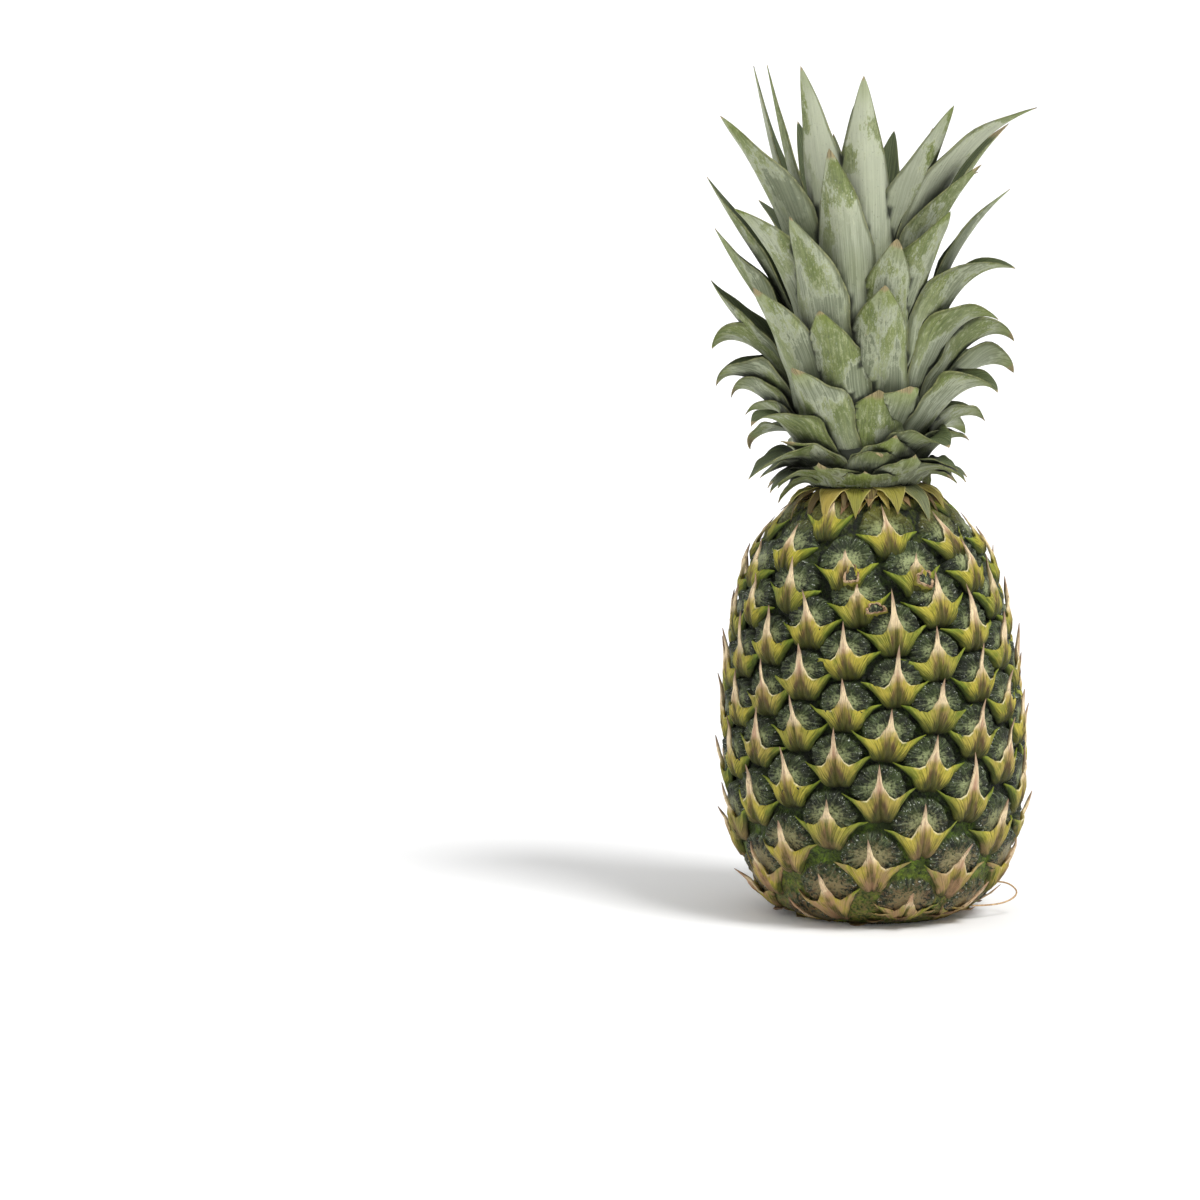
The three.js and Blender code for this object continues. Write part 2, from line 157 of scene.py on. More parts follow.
LEAF_ASIDE = 5.0         # how far apart their tips swing to the sides
CHANNEL_ROOT = 26.0      # radius of the channel across a leaf, at its root and farther out
CHANNEL_OUTER = 13.0
BASE_LEAF_COUNT = 14
BASE_LEAF_WIDTH = 25.0
BASE_LEAF_RIB = 1.8
BASE_LEAF_LIFT = 60
BASE_LEAF_ROOT = 174.6   # height of the lowest root, and the radii of the highest and the lowest
BASE_LEAF_RADII = (21.5, 20.5)
HOLLOW_REACH = 22.0      # how far away other leaves still darken a place
HOLLOW_START = 0.8       # how far above the leaf its own rays start
HOLLOW_RAYS = 12
HOLLOW_TURN = 2.39996    # from one ray to the next, which spreads them evenly
LEAF_ALONG = 26
LEAF_ACROSS = 10

# Leaves that stand off the rule: number, tip reach, tip height, extra turn and tip lift in degrees.
LEAF_OWN = {row[0]: row[1:] for row in (
    (0, 36, 178, 0, -60), (1, 34, 187, 12, -75), (3, 40, 175, 6, -60), (4, 44, 181, 8, -35),
    (6, 45, 195, -13, 15), (7, 37, 177, 6, -60), (8, 43, 179, 26, -40), (9, 35, 196, -2, 62),
    (11, 55, 180, 6, -40), (12, 43, 192, 6, -45), (14, 53, 201, -45, -62), (16, 48, 205, 6, -50),
    (17, 43, 190, 4, -50), (19, 50, 224, 4, 35), (20, 50, 199, 6, -50), (21, 54, 212, 31, -70),
    (22, 34, 214, -5, 66), (24, 55, 256, 22, 52), (25, 56, 211, 6, -50), (26, 50, 190, 46, -95),
    (27, 44, 246, -6, 64), (28, 64, 218, -14, -50), (29, 60, 217, 6, -60), (30, 37, 215, -6, 66),
    (32, 52, 283, 13, 58), (33, 62, 231, 6, -45), (34, 64, 232, 26, -45), (35, 42, 255, 5, 68),
    (37, 62, 260, -24, 62), (38, 56, 240, 16, -30), (40, 42, 309, 9, 70), (41, 64, 260, -41, -15),
    (42, 59, 281, 6, 64), (43, 42, 273, -12, 64), (46, 61, 292, 6, 38), (48, 36, 337, 4, 76),
    (50, 62, 302, -18, 62), (51, 50, 283, -11, 54), (53, 38, 342, -2, 74), (54, 64, 319, -4, 42),
    (55, 61, 324, 52, 50), (56, 56, 301, 36, 42), (58, 42, 346, -47, 80), (59, 78, 322, -13, 15),
    (61, 20, 322, 0, 80), (63, 35, 345, 6, 80), (64, 52, 324, -4, 55), (66, 18, 316, 0, 82),
    (67, 52, 300, 6, 20), (68, 14, 314, 0, 84), (69, 9, 306, 0, 86),
)}
# Length of the dead, brown end on the leaves where it is long.
DRY_ENDS = {-7: 4, 6: 7, 19: 5, 21: 6, 22: 5, 24: 4, 26: 8, 27: 3, 28: 4, 30: 3, 33: 3, 35: 3,
            40: 5, 43: 4, 54: 9, 56: 6, 59: 4}

# Share of powdery bloom on the leaves that have more or less of it than the rule says.
OWN_BLOOM = {21: 0.5, 24: 0.6, 26: 0.3, 27: 0.45, 29: 0.55, 32: 0.85, 34: 0.6, 35: 0.55, 37: 0.25, 40: 1.0,
             42: 0.4, 46: 0.3, 48: 1.1, 50: 0.2, 54: 0.35, 55: 0.1, 56: 0.5, 58: 0.4, 59: 0.8, 63: 0.4}

# Width of the leaves that are broader or narrower than the rule.
OWN_WIDTHS = {26: 0.5, 37: 0.8, 41: 1.1, 46: 0.7, 50: 0.85, 55: 1.15, 56: 1.15, 58: 0.75, 59: 1.2, 63: 0.75,
              64: 1.15}

# The lowest scales that stand off the rule: number, tip reach, tip height, tip lift and extra turn.
BASE_OWN = {-2: (44, 174, -62, 0), -4: (37, 188, 56, 10), -7: (38, 186, 48, -4), -9: (46, 176, -60, 3),
            -10: (36, 169, -70, 0), -12: (33, 182, 60, 0)}

NECK_ROOT = 174.0
NECK_RADIUS = 20.0
NECK_LIFTS = (12, -74)   # degrees, as the next two: the bracts' lifts, and where those behind stand
NECK_BEHIND = 75
NECK_SPREAD = 210
NECK_LEAVES = 15
NECK_SCRAPS = 46
# Bracts that show in front: turn in degrees, tip reach, tip height, width, freshness from 0 to 1.
NECK_OWN = (
    (-66, 36, 162.0, 6, 0.1), (-51, 34, 160.0, 7, 0.2), (-35, 36, 162.5, 12, 0.55), (-22, 33, 166.0, 6, 0.1),
    (-12, 36, 163.2, 11, 0.9), (-1, 33, 167.0, 8, 0.1), (8, 33, 165.0, 6, 0.45), (18, 36, 164.5, 13, 0.85),
    (38, 38, 160.0, 11, 1.4), (50, 34, 163.0, 6, 0.1), (61, 35, 164.0, 9, 0.7),
)

BASE_SCRAPS = 38
FIBRE_RADIUS = 0.35
FIBRE_ROUTE = ((44, -6, 12), (50, -7, 13.5), (55.5, -8, 11), (56.5, -10, 8), (52, -13, 5.6), (46, -17, 5),
               (40, -21, 5.5), (36, -24, 6))

# The lengths from here on are in metres.
WELD = 0.00003           # points nearer than this are merged

FLOOR_REACH = 3.0        # the flat floor, its curve and the top of the backdrop
FLOOR_SWEEP = 0.8
BACKDROP_HEIGHT = 1.4

KEY_PLACE = (0.8, -0.7, 1.5)
KEY_SPREAD = math.radians(22)
VIEW_TARGET = np.array([-0.1142, 0, 0.12775])
VIEW_DISTANCE = 1.3
VIEW_RISE = math.radians(5)
VIEW_LENS = 95.6         # millimetres, at that distance

# ---------------------------------------------------------------- small helpers


def mix(a, b, t):
    return a + (b - a) * t


def smooth(t):
    t = np.clip(t, 0, 1)
    return t * t * (3 - 2 * t)


def seeded(n):
    return math.sin(n * 12.9898) * 43758.5453 % 1


def read_outline(points, z):
    """A cubic through the points of an outline, read at the heights z."""
    height, radius = points[:, 0], points[:, 1]
    i = np.clip(np.searchsorted(height, z) - 1, 0, len(points) - 2)
    before, after = np.maximum(i - 1, 0), np.minimum(i + 2, len(points) - 1)
    slope_0 = (radius[i + 1] - radius[before]) / (height[i + 1] - height[before])
    slope_1 = (radius[after] - radius[i]) / (height[after] - height[i])
    step = height[i + 1] - height[i]
    t = np.clip((z - height[i]) / step, 0, 1)
    return ((2 * t**3 - 3 * t**2 + 1) * radius[i] + (t**3 - 2 * t**2 + t) * step * slope_0
            + (3 * t**2 - 2 * t**3) * radius[i + 1] + (t**3 - t**2) * step * slope_1)


def leaned(x, y, z):
    """Points of the upright frame in metres, turned with the fruit's lean."""
    return MM * np.stack([
        x * math.cos(LEAN) - z * math.sin(LEAN), y + 0 * x, x * math.sin(LEAN) + z * math.cos(LEAN),
    ], axis=-1)


def tint(red, green, blue):
    """A colour given in display values from 0 to 255, as linear values."""
    return tuple(c / 12.92 if c <= 0.04045 else ((c + 0.055) / 1.055) ** 2.4
                 for c in (red / 255, green / 255, blue / 255))


def millimetres(length):
    """A length setting in millimetres, without the rounding that it is stored with."""
    return round(length / MM, 4)


def deselect_all():
    bpy.ops.object.select_all(action="DESELECT")


def ring_faces(rings, turns):
    """Four-sided faces between rings of points that follow one another in a list."""
    faces = []
    for start in range(0, (rings - 1) * turns, turns):
        for j in range(turns):
            a, b = start + j, start + (j + 1) % turns
            faces.append([a, b, b + turns, a + turns])
    return faces


def add_piece(name, points, faces):
    """A mesh object at the origin, with its place in its mesh and its faces shaded smooth."""
    mesh = bpy.data.meshes.new(name)
    mesh.from_pydata([tuple(p) for p in points], [], faces)
    mesh.shade_smooth()
    piece = bpy.data.objects.new(name, mesh)
    bpy.context.scene.collection.objects.link(piece)
    return piece


def store(mesh, name, values, domain="POINT"):
    """Writes one number or one vector for each point or face corner of a mesh."""
    values = np.asarray(values, dtype=np.float32)
    kind, field = ("FLOAT", "value") if values.ndim == 1 else ("FLOAT_VECTOR", "vector")
    attribute = mesh.attributes.new(name, kind, domain)
    attribute.data.foreach_set(field, values.ravel())


def turn_outwards(piece):
    """Flips a closed mesh whose volume comes out negative."""
    solid = bmesh.new()
    solid.from_mesh(piece.data)
    inside_out = solid.calc_volume(signed=True) < 0
    solid.free()
    if inside_out:
        piece.data.flip_normals()


def join_pieces(pieces, name):
    """Joins closed pieces with their faces outwards and merges their pointed ends."""
    deselect_all()
    for piece in pieces:
        turn_outwards(piece)
        piece.select_set(True)
    bpy.context.view_layer.objects.active = pieces[0]
    bpy.ops.object.join()
    whole = bpy.context.view_layer.objects.active
    whole.name = name
    bpy.ops.object.mode_set(mode="EDIT")
    bpy.ops.mesh.select_all(action="SELECT")
    bpy.ops.mesh.remove_doubles(threshold=WELD)
    bpy.ops.object.mode_set(mode="OBJECT")
    deselect_all()
    return whole


def place_piece(piece, material, slot, *nodes):
    """Gives a finished piece its material and its body, and hides the solids that it stands for."""
    piece.data.materials.clear()
    piece.data.materials.append(material)
    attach(piece, "root")
    if nodes:
        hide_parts(*nodes)


def make_template(columns, rows, depth):
    """A flat closed pad of columns by rows, with an upper and a lower face, seen as places in a grid."""
    deselect_all()
    bpy.ops.mesh.primitive_grid_add(x_subdivisions=columns, y_subdivisions=rows, size=2)
    pad = bpy.context.active_object
    thicken = pad.modifiers.new("thickness", "SOLIDIFY")
    thicken.thickness = depth
    thicken.offset = 0
    bpy.ops.object.modifier_apply(modifier=thicken.name)
    return pad


def read_points(piece):
    points = np.zeros(len(piece.data.vertices) * 3, np.float32)
    piece.data.vertices.foreach_get("co", points)
    return points.reshape(-1, 3)


def copy_shape(template, name, points):
    """A copy of a template with its own mesh, its points moved to new places."""
    piece = bpy.data.objects.new(name, template.data.copy())
    piece.data.vertices.foreach_set("co", points.astype(np.float32).ravel())
    piece.data.shade_smooth()
    bpy.context.scene.collection.objects.link(piece)
    return piece


# ---------------------------------------------------------------- the lattice of eyes


def eye_height(k):
    """Height of the eye with number k."""
    a, b, c, d = EYE_HEIGHT
    return a + b * k + c * k**2 + d * np.minimum(k, 0) ** 3 + EYE_SHOULDER * np.maximum(k - 45, 0) ** 2


def eye_drift(k):
    """How far eye k runs ahead of an even spiral."""
    return EYE_LEAD * smooth((k - 30) / 22) - EYE_LAG * smooth(k / 10)


def cell_place(eye, across, up):
    """Turn and height of a place in an eye's cell, in lattice steps from the middle of its wing line."""
    along_8 = across / 2 + up
    along_13 = up - across / 2
    count = eye + 8 * along_8 + 13 * along_13
    even = EYE_PHASE + eye * EYE_TURN + along_8 * TURN_8 + along_13 * TURN_13 + eye_drift(count)
    turn = even + EYE_STRETCH * np.sin(even - EYE_STRETCH_SIDE)
    return turn, eye_height(count) - EYE_SKEW * np.cos(turn - EYE_SKEW_SIDE)


def skin_slope(z):
    return read_outline(FRUIT_PROFILE, z + 0.5) - read_outline(FRUIT_PROFILE, z - 0.5)


def skin_point(turn, z, relief):
    """A point that stands off the skin, in metres, kept between the flat base and the flat shoulder."""
    radius, slope = read_outline(FRUIT_PROFILE, z), skin_slope(z)
    fade = np.clip(z / FADE_BASE, 0.15, 1) * np.clip((FRUIT_TOP - z) / FADE_TOP, 0.35, 1)
    lift = relief * fade / np.hypot(1, slope)
    radius, z = radius + lift, np.minimum(z - lift * slope, FRUIT_TOP)
    points = leaned(radius * np.sin(turn), -radius * np.cos(turn), z)
    points[..., 2] = np.maximum(points[..., 2], 0)
    return points


def from_eye(eye, turn, z):
    """True distances across and up the skin from an eye to a place on it."""
    eye_turn, eye_z = cell_place(eye, 0.0, 0.0)
    away = (turn - eye_turn + math.pi) % (2 * math.pi) - math.pi
    middle = (z + eye_z) / 2
    return away * read_outline(FRUIT_PROFILE, middle), (z - eye_z) * np.hypot(1, skin_slope(middle))


def beside_eye(eye, x, y):
    """Turn and height of the place at these distances from an eye."""
    eye_turn, eye_z = cell_place(float(eye), 0.0, 0.0)
    middle = eye_z + 0.5 * y / np.hypot(1, skin_slope(eye_z + 0 * y))
    z = eye_z + y / np.hypot(1, skin_slope(middle))
    return eye_turn + x / read_outline(FRUIT_PROFILE, (z + eye_z) / 2), z


def eye_scale(eye):
    """How much wider and taller the lattice is round an eye than round the middle of the fruit."""
    left, right = (cell_place(eye, side, 0.0) for side in (-0.5, 0.5))
    low, high = (cell_place(eye, 0.0, side) for side in (-0.5, 0.5))
    z = cell_place(eye, 0.0, 0.0)[1]
    wider = (right[0] - left[0]) * read_outline(FRUIT_PROFILE, z) / CELL_WIDE
    taller = (high[1] - low[1]) * np.hypot(1, skin_slope(z)) / CELL_HIGH
    return wider, taller


def dome_place(eye, turn, z):
    """How far a place is from the middle of an eye's dome, 1 at the rim, in which direction, and where."""
    x, y = from_eye(eye, turn, z)
    wider, taller = eye_scale(eye)
    broad = 1 + 0.24 * (1 - smooth((z - 20) / 40)) + 0.3 * smooth((z - 122) / 22)
    x, y = x / mix(1, wider, 0.6) / broad, y / mix(1, np.minimum(taller, 1.3), 0.85) / mix(1, broad, 0.4)
    high = (y - DOME_CENTRE) / DOME_HIGH
    wide = x / DOME_WIDE * (1 + DOME_TAPER * np.maximum(high, 0))
    far = (np.abs(wide) ** DOME_POWER + np.abs(high) ** DOME_POWER) ** (1 / DOME_POWER)
    return far, np.arctan2(high, wide), x, y


def nearest_dome(eye, turn, z):
    """The same for whichever of the eyes round about is nearest, and its number."""
    best = dome_place(eye, turn, z) + (eye,)
    for step in (8, 13, 21):
        for other in (eye - step, eye + step):
            found = dome_place(other, turn, z) + (other,)
            nearer = found[0] < best[0]
            best = tuple(np.where(nearer, new, old) for new, old in zip(found, best))
    return best


def make_skin(look):
    """The fused skin: a crinkled dome for each eye and the deep grooves between them."""
    n = SKIN_STEPS
    eyes = np.arange(EYE_FIRST, EYE_LAST + 1)
    steps = np.arange(n) / n - 0.5 + SHIFT
    eye, along_8, along_13 = np.meshgrid(eyes.astype(float), steps, steps, indexing="ij")
    turn, z = cell_place(eye, along_8 - along_13, (along_8 + along_13) / 2)
    far, heading, _, _, owner = nearest_dome(eye, turn, z)
    seeds = (np.sin((owner + 300) * 12.9898) * 43758.5453) % 1
    far = far * (1 + 0.03 * np.sin(heading * 5 + seeds * 40) + 0.025 * np.sin(heading * 11 + seeds * 90))
    rise = 1 - smooth((far - DOME_EDGE) / DOME_FALL)
    rim = np.clip(far, 0, 1) ** 3
    folds = np.sin(heading * 15 + 30 * seeds) + 0.8 * np.sin(heading * 23 + 70 * seeds)
    height = millimetres(look.dome_rise) * (0.84 + 0.2 * rim) + 0.8 * (seeds - 0.5)
    height = height + 0.45 * folds * smooth(far * 1.6 - 0.3)
    groove = mix(GROOVE_DEPTH_LOW, GROOVE_DEPTH, smooth((z - 15) / 45))
    points = skin_point(turn, z, mix(groove, height, rise)).reshape(-1, 3)
    bottom, top = len(points), len(points) + 1
    points = np.vstack([points, np.array([(0, 0, 0), leaned(np.array(0.0), 0.0, FRUIT_TOP)])])

    def index(k, i, j):
        k += (i // n) * 8 + (j // n) * 13
        if k < EYE_FIRST:
            return bottom
        if k > EYE_LAST:
            return top
        return ((k - EYE_FIRST) * n + i % n) * n + j % n

    faces, cells = [], []
    for k in range(EYE_FIRST - 21, EYE_LAST + 1):
        for i in range(n):
            for j in range(n):
                corners = ((i, j), (i + 1, j), (i + 1, j + 1), (i, j + 1))
                ring = {index(k, a, b): (a, b) for a, b in corners}
                if len(ring) > 2:
                    faces.append(list(ring))
                    cells.extend((len(faces) - 1, k, a / n - 0.5 + SHIFT, b / n - 0.5 + SHIFT)
                                 for a, b in ring.values())
    skin = add_piece("rind", points, faces)
    face, k, a, b = np.array(cells).T
    turn, z = cell_place(k, a - b, (a + b) / 2)
    first = np.searchsorted(face, np.arange(len(faces)))[face.astype(int)]
    owner = nearest_dome(k[first], turn[first], z[first])[4]
    _, _, x, y = dome_place(owner, turn, z)
    seeds = (np.sin((owner + 500) * 12.9898) * 43758.5453) % 1
    store(skin.data, "place", np.stack([x, y, seeds], axis=1), "CORNER")
    store(skin.data, "rise", np.append(rise.ravel(), (0, 0)))
    store(skin.data, "far", np.append(far.ravel(), (2, 2)))
    return skin


# ---------------------------------------------------------------- bracts of the eyes


def bract_template(look):
    """The star-shaped bract: a closed pad whose columns follow its outline."""
    columns = 2 * (len(BRACT_OUTLINE) - 1)
    rows = len(BRACT_ROWS) - 1
    pad = make_template(columns, rows, 0.1)
    grid = read_points(pad)
    column = np.rint((grid[:, 0] + 1) / 2 * columns).astype(int) - (len(BRACT_OUTLINE) - 1)
    row = np.rint((grid[:, 1] + 1) / 2 * rows).astype(int)
    outline = np.array(BRACT_OUTLINE)[np.abs(column)]
    across = outline[:, 0] * np.sign(column)
    share = np.array(BRACT_ROWS)[row]
    up = mix(outline[:, 2], outline[:, 1], share)
    wing = outline[:, 0] / BRACT_OUTLINE[-1][0]
    low = BRACT_FOOT + wing
    ridge = millimetres(look.bract_ridge) - BRACT_WING_DROP * wing**1.5
    relief = mix(low, ridge, np.array(BRACT_SWELL)[row])
    spine = np.clip(up / SPINE_LENGTH, 0, 1) * (outline[:, 0] < SPINE_WIDTH)
    relief += 0.9 * spine - 0.5 * (outline[:, 0] / SPINE_WIDTH) ** 2 * (outline[:, 0] < SPINE_WIDTH)
    under = grid[:, 2] < 0
    inside = (row > 0) & (row < rows) & (np.abs(column) < len(BRACT_OUTLINE) - 1)
    relief -= np.where(under, np.where(inside, BRACT_THICKNESS, BRACT_RIM_THICKNESS), 0)
    return pad, across, up, relief, share


def make_bracts(look):
    """One bract on every eye, each a little different, wrapped on the skin."""
    pad, across, up, relief, share = bract_template(look)
    copies = []
    for eye in range(EYE_FIRST, EYE_LAST + 1):
        height = float(cell_place(float(eye), 0.0, 0.0)[1])
        if not 0 < height < BRACT_TOP:
            continue
        shoulder = float(smooth((height - 135) / 30))
        long = (SPINE_SHORTEST + SPINE_SPREAD * seeded(eye + 20)) * mix(1, SPINE_SHOULDER, shoulder)
        long = SPINE_TORN if eye in TORN_EYES else long
        wider, taller = eye_scale(float(eye))
        lower = mix(1, taller, 0.85) if height < 85 else mix(1, min(taller, 1.05), 0.85)
        wider, upper = mix(1, wider, 0.55) * (0.95 + 0.1 * seeded(eye + 400)), mix(1, taller, 0.25)
        tilt = BRACT_TILT * (seeded(eye + 520) - 0.5)
        foot = 1 - float(smooth((height - 20) / 45))
        long *= mix(1, SPINE_FOOT, foot)
        aside = SPINE_ASIDE * (seeded(eye + 700) - 0.5)
        spine = np.clip(up / SPINE_LENGTH, 0, 1)
        x = across + aside * spine**1.5
        y = np.where(up > 2, 2 + (up - 2) * long, up)
        x = x + 0.5 * np.sin(up * 0.6 + eye) * np.abs(across) / 14
        y = y + 0.7 * np.sin(across * 0.45 + 5 * seeded(eye)) * np.abs(across) / 14
        raised = foot + 0.9 * float(smooth((height - 120) / 25))
        lift = relief + raised + 0.4 * (seeded(eye + 900) - 0.5)
        lift = lift + 0.35 * np.sin(across * 0.9 + up * 0.5 + eye) + 0.3 * np.sin(across * 1.7 + 2 * eye)
        lift = lift + SPINE_CURL * (seeded(eye + 11) - 0.25) * spine**2.5
        x = x * mix(1, 1 - 0.5 * np.clip(-y / 9, 0, 1), 0.45 + 0.55 * foot)
        x, y = (x + tilt * y) * wider, (y - tilt * x) * np.where(y < 0, lower, upper)
        turn, z = beside_eye(eye, x, y)
        piece = copy_shape(pad, f"bract_{eye}", skin_point(turn, z, lift))
        seed = seeded(eye + 40)
        store(piece.data, "place", np.stack([across, up, np.full(len(up), seed)], axis=1))
        store(piece.data, "edge", share)
        copies.append(piece)
    bpy.data.objects.remove(pad)
    return join_pieces(copies, "bracts")


def make_torn_eyes():
    """Curled, dry rims where a bract has torn open over its dome."""
    angle = 2 * math.pi * np.arange(TORN_CORNERS) / TORN_CORNERS
    copies = []
    for eye, (x, y, wide, high) in TORN_EYES.items():
        points, shares = [], []
        for share, relief in TORN_PROFILE:
            rough = 1 + 0.13 * np.sin(3 * angle + eye) + 0.09 * np.sin(7 * angle + 2 * eye)
            rough = rough + 0.05 * np.sin(13 * angle + 3 * eye)
            across = x + share * wide * rough * np.cos(angle)
            up = y + share * high * rough * np.sin(angle)
            lift = relief + (1.3 * np.sin(angle + eye) + 0.6 * np.sin(5 * angle + eye) - 0.3) * (share > 0.9)
            points.extend(skin_point(*beside_eye(eye, across, up), lift))
            shares.extend([share] * TORN_CORNERS)
        ends = [range(TORN_CORNERS)[::-1], range(len(points) - TORN_CORNERS, len(points))]
        faces = ring_faces(len(TORN_PROFILE), TORN_CORNERS) + [list(end) for end in ends]
        piece = add_piece(f"torn_{eye}", points, faces)
        store(piece.data, "share", shares)
        copies.append(piece)
    return join_pieces(copies, "torn_rims")


# ---------------------------------------------------------------- leaves


def centre_line(root, tip, root_lift, tip_lift, s):
    """Points and directions of a cubic from the root to the tip, as radius and height."""
    root, tip = np.array(root, float), np.array(tip, float)
    chord = np.linalg.norm(tip - root)
    first = root + 0.42 * chord * np.array([math.cos(root_lift), math.sin(root_lift)])
    last = tip - 0.36 * chord * np.array([math.cos(tip_lift), math.sin(tip_lift)])
    s = s[:, None]
    at = (1 - s) ** 3 * root + 3 * (1 - s) ** 2 * s * first + 3 * (1 - s) * s**2 * last + s**3 * tip
    way = (1 - s) ** 2 * (first - root) + 2 * (1 - s) * s * (last - first) + s**2 * (tip - last)
    return at, way / np.linalg.norm(way, axis=1, keepdims=True), chord


def leaf_template():
    """A closed pad, and for each of its points how far across, how far along and on which face it is."""
    pad = make_template(LEAF_ACROSS, LEAF_ALONG, 0.1)
    grid = read_points(pad)
    return pad, grid[:, 0], (grid[:, 1] + 1) / 2, np.sign(grid[:, 2])


def bend_leaf(template, name, root, tip, lifts, turn, width, seed, dry, slim, fresh=1.0, rib=LEAF_RIB,
              edge=LEAF_EDGE):
    """One pointed, channelled blade along its own line, with the marks its finish reads.

    The root and the tip are a radius and a height, and the line leaves and meets them at lifts in degrees.
    """
    pad, c, s, face = template
    s = 1 - (1 - s) ** 1.25
    at, way, chord = centre_line(root, tip, *map(math.radians, lifts), s)
    half = width / 2 * np.minimum(1, mix(2.05, 1.2, slim) * np.maximum(1 - s, 0) ** mix(0.8, 1.1, slim))
    half = half * (1 + 0.04 * np.sin(9 * s + 20 * seed) + 0.02 * np.sin(31 * s + 50 * seed))
    bend = mix(1 / CHANNEL_ROOT, 1 / CHANNEL_OUTER, smooth(s * 1.5)) * mix(1, 0.65, slim)
    angle = c * half * bend
    across = np.sin(angle) / bend
    raised = (1 - np.cos(angle)) / bend + mix(0.22, 0.1, slim) * np.abs(c) * half * smooth(s * 1.6 - 0.5)
    raised = raised + 0.05 * half * np.sin(14 * s + 40 * seed) * c**2
    raised = raised + 0.03 * half * np.sin(23 * s + 9 * seed) * c
    thick = mix(rib, edge, np.abs(c) ** 1.3) * np.minimum(1, 0.25 + 3 * (1 - s))
    lift = raised + face * thick / 2
    twist = LEAF_TWIST * (seeded(seed * 91) - 0.5) * s**2
    side = across * np.cos(twist) - lift * np.sin(twist) + LEAF_ASIDE * (seeded(seed * 57) - 0.5) * s**2.5
    lift = across * np.sin(twist) + lift * np.cos(twist)
    radius = at[:, 0] - way[:, 1] * lift
    height = at[:, 1] + way[:, 0] * lift
    x = radius * math.sin(turn) + side * math.cos(turn)
    y = -radius * math.cos(turn) + side * math.sin(turn)
    piece = copy_shape(pad, name, leaned(x, y, height))
    count = len(c)
    store(piece.data, "place", np.stack([c * half, s * chord, np.full(count, seed)], axis=1))
    store(piece.data, "form", np.stack([np.abs(c), (1 - s) * chord, face], axis=1))
    store(piece.data, "dry", np.full(count, dry))
    store(piece.data, "fresh", np.full(count, fresh))
    return piece


def grow_leaves(name, rows):
    """Bends a blade for each row of values and joins them."""
    template = leaf_template()
    blades = [bend_leaf(template, f"{name}_{n}", **row) for n, row in enumerate(rows)]
    bpy.data.objects.remove(template[0])
    return join_pieces(blades, name)


def store_occlusion_shade(piece):
    """Stores for each vertex the share of the directions round its normal that other leaves close off, which
    the leaves' finish paints as shade.
    """
    mesh = piece.data
    tree = BVHTree.FromPolygons([v.co for v in mesh.vertices], [f.vertices for f in mesh.polygons])
    rays = []
    for i in range(HOLLOW_RAYS):
        high, turn = 1 - (i + 0.5) / HOLLOW_RAYS, i * HOLLOW_TURN
        flat = math.sqrt(1 - high * high)
        rays.append(Vector((flat * math.cos(turn), flat * math.sin(turn), high)))
    closed = []
    for vertex in mesh.vertices:
        turned = vertex.normal.to_track_quat("Z", "Y")
        start = vertex.co + vertex.normal * HOLLOW_START * MM
        hits = [tree.ray_cast(start, turned @ ray, HOLLOW_REACH * MM)[3] for ray in rays]
        closed.append(sum(1 - hit / (HOLLOW_REACH * MM) for hit in hits if hit) / HOLLOW_RAYS)
    store(mesh, "occlusion_shade", closed)


def leaf_values(n):
    """How far up the crown a leaf is, its tip's reach and height, its turn and its tip's lift in degrees."""
    u = n / (LEAF_COUNT - 1)
    shift = seeded(n) - 0.5
    by_rule = (
        LEAF_REACH_END + LEAF_REACH_MIDDLE * math.sin(math.pi * u) + 6 * shift,
        mix(LEAF_TIP_LOW, LEAF_TIP_HIGH, smooth(u)) + 10 * (seeded(n + 90) - 0.5),
        8 * shift,
        mix(TIP_LIFT_LOW, TIP_LIFT_TOP, smooth(u)),
    )
    reach, height, extra_turn, tip_lift = LEAF_OWN.get(n, by_rule)
    return u, reach, height, LEAF_PHASE + n * LEAF_TURN + math.radians(extra_turn), tip_lift


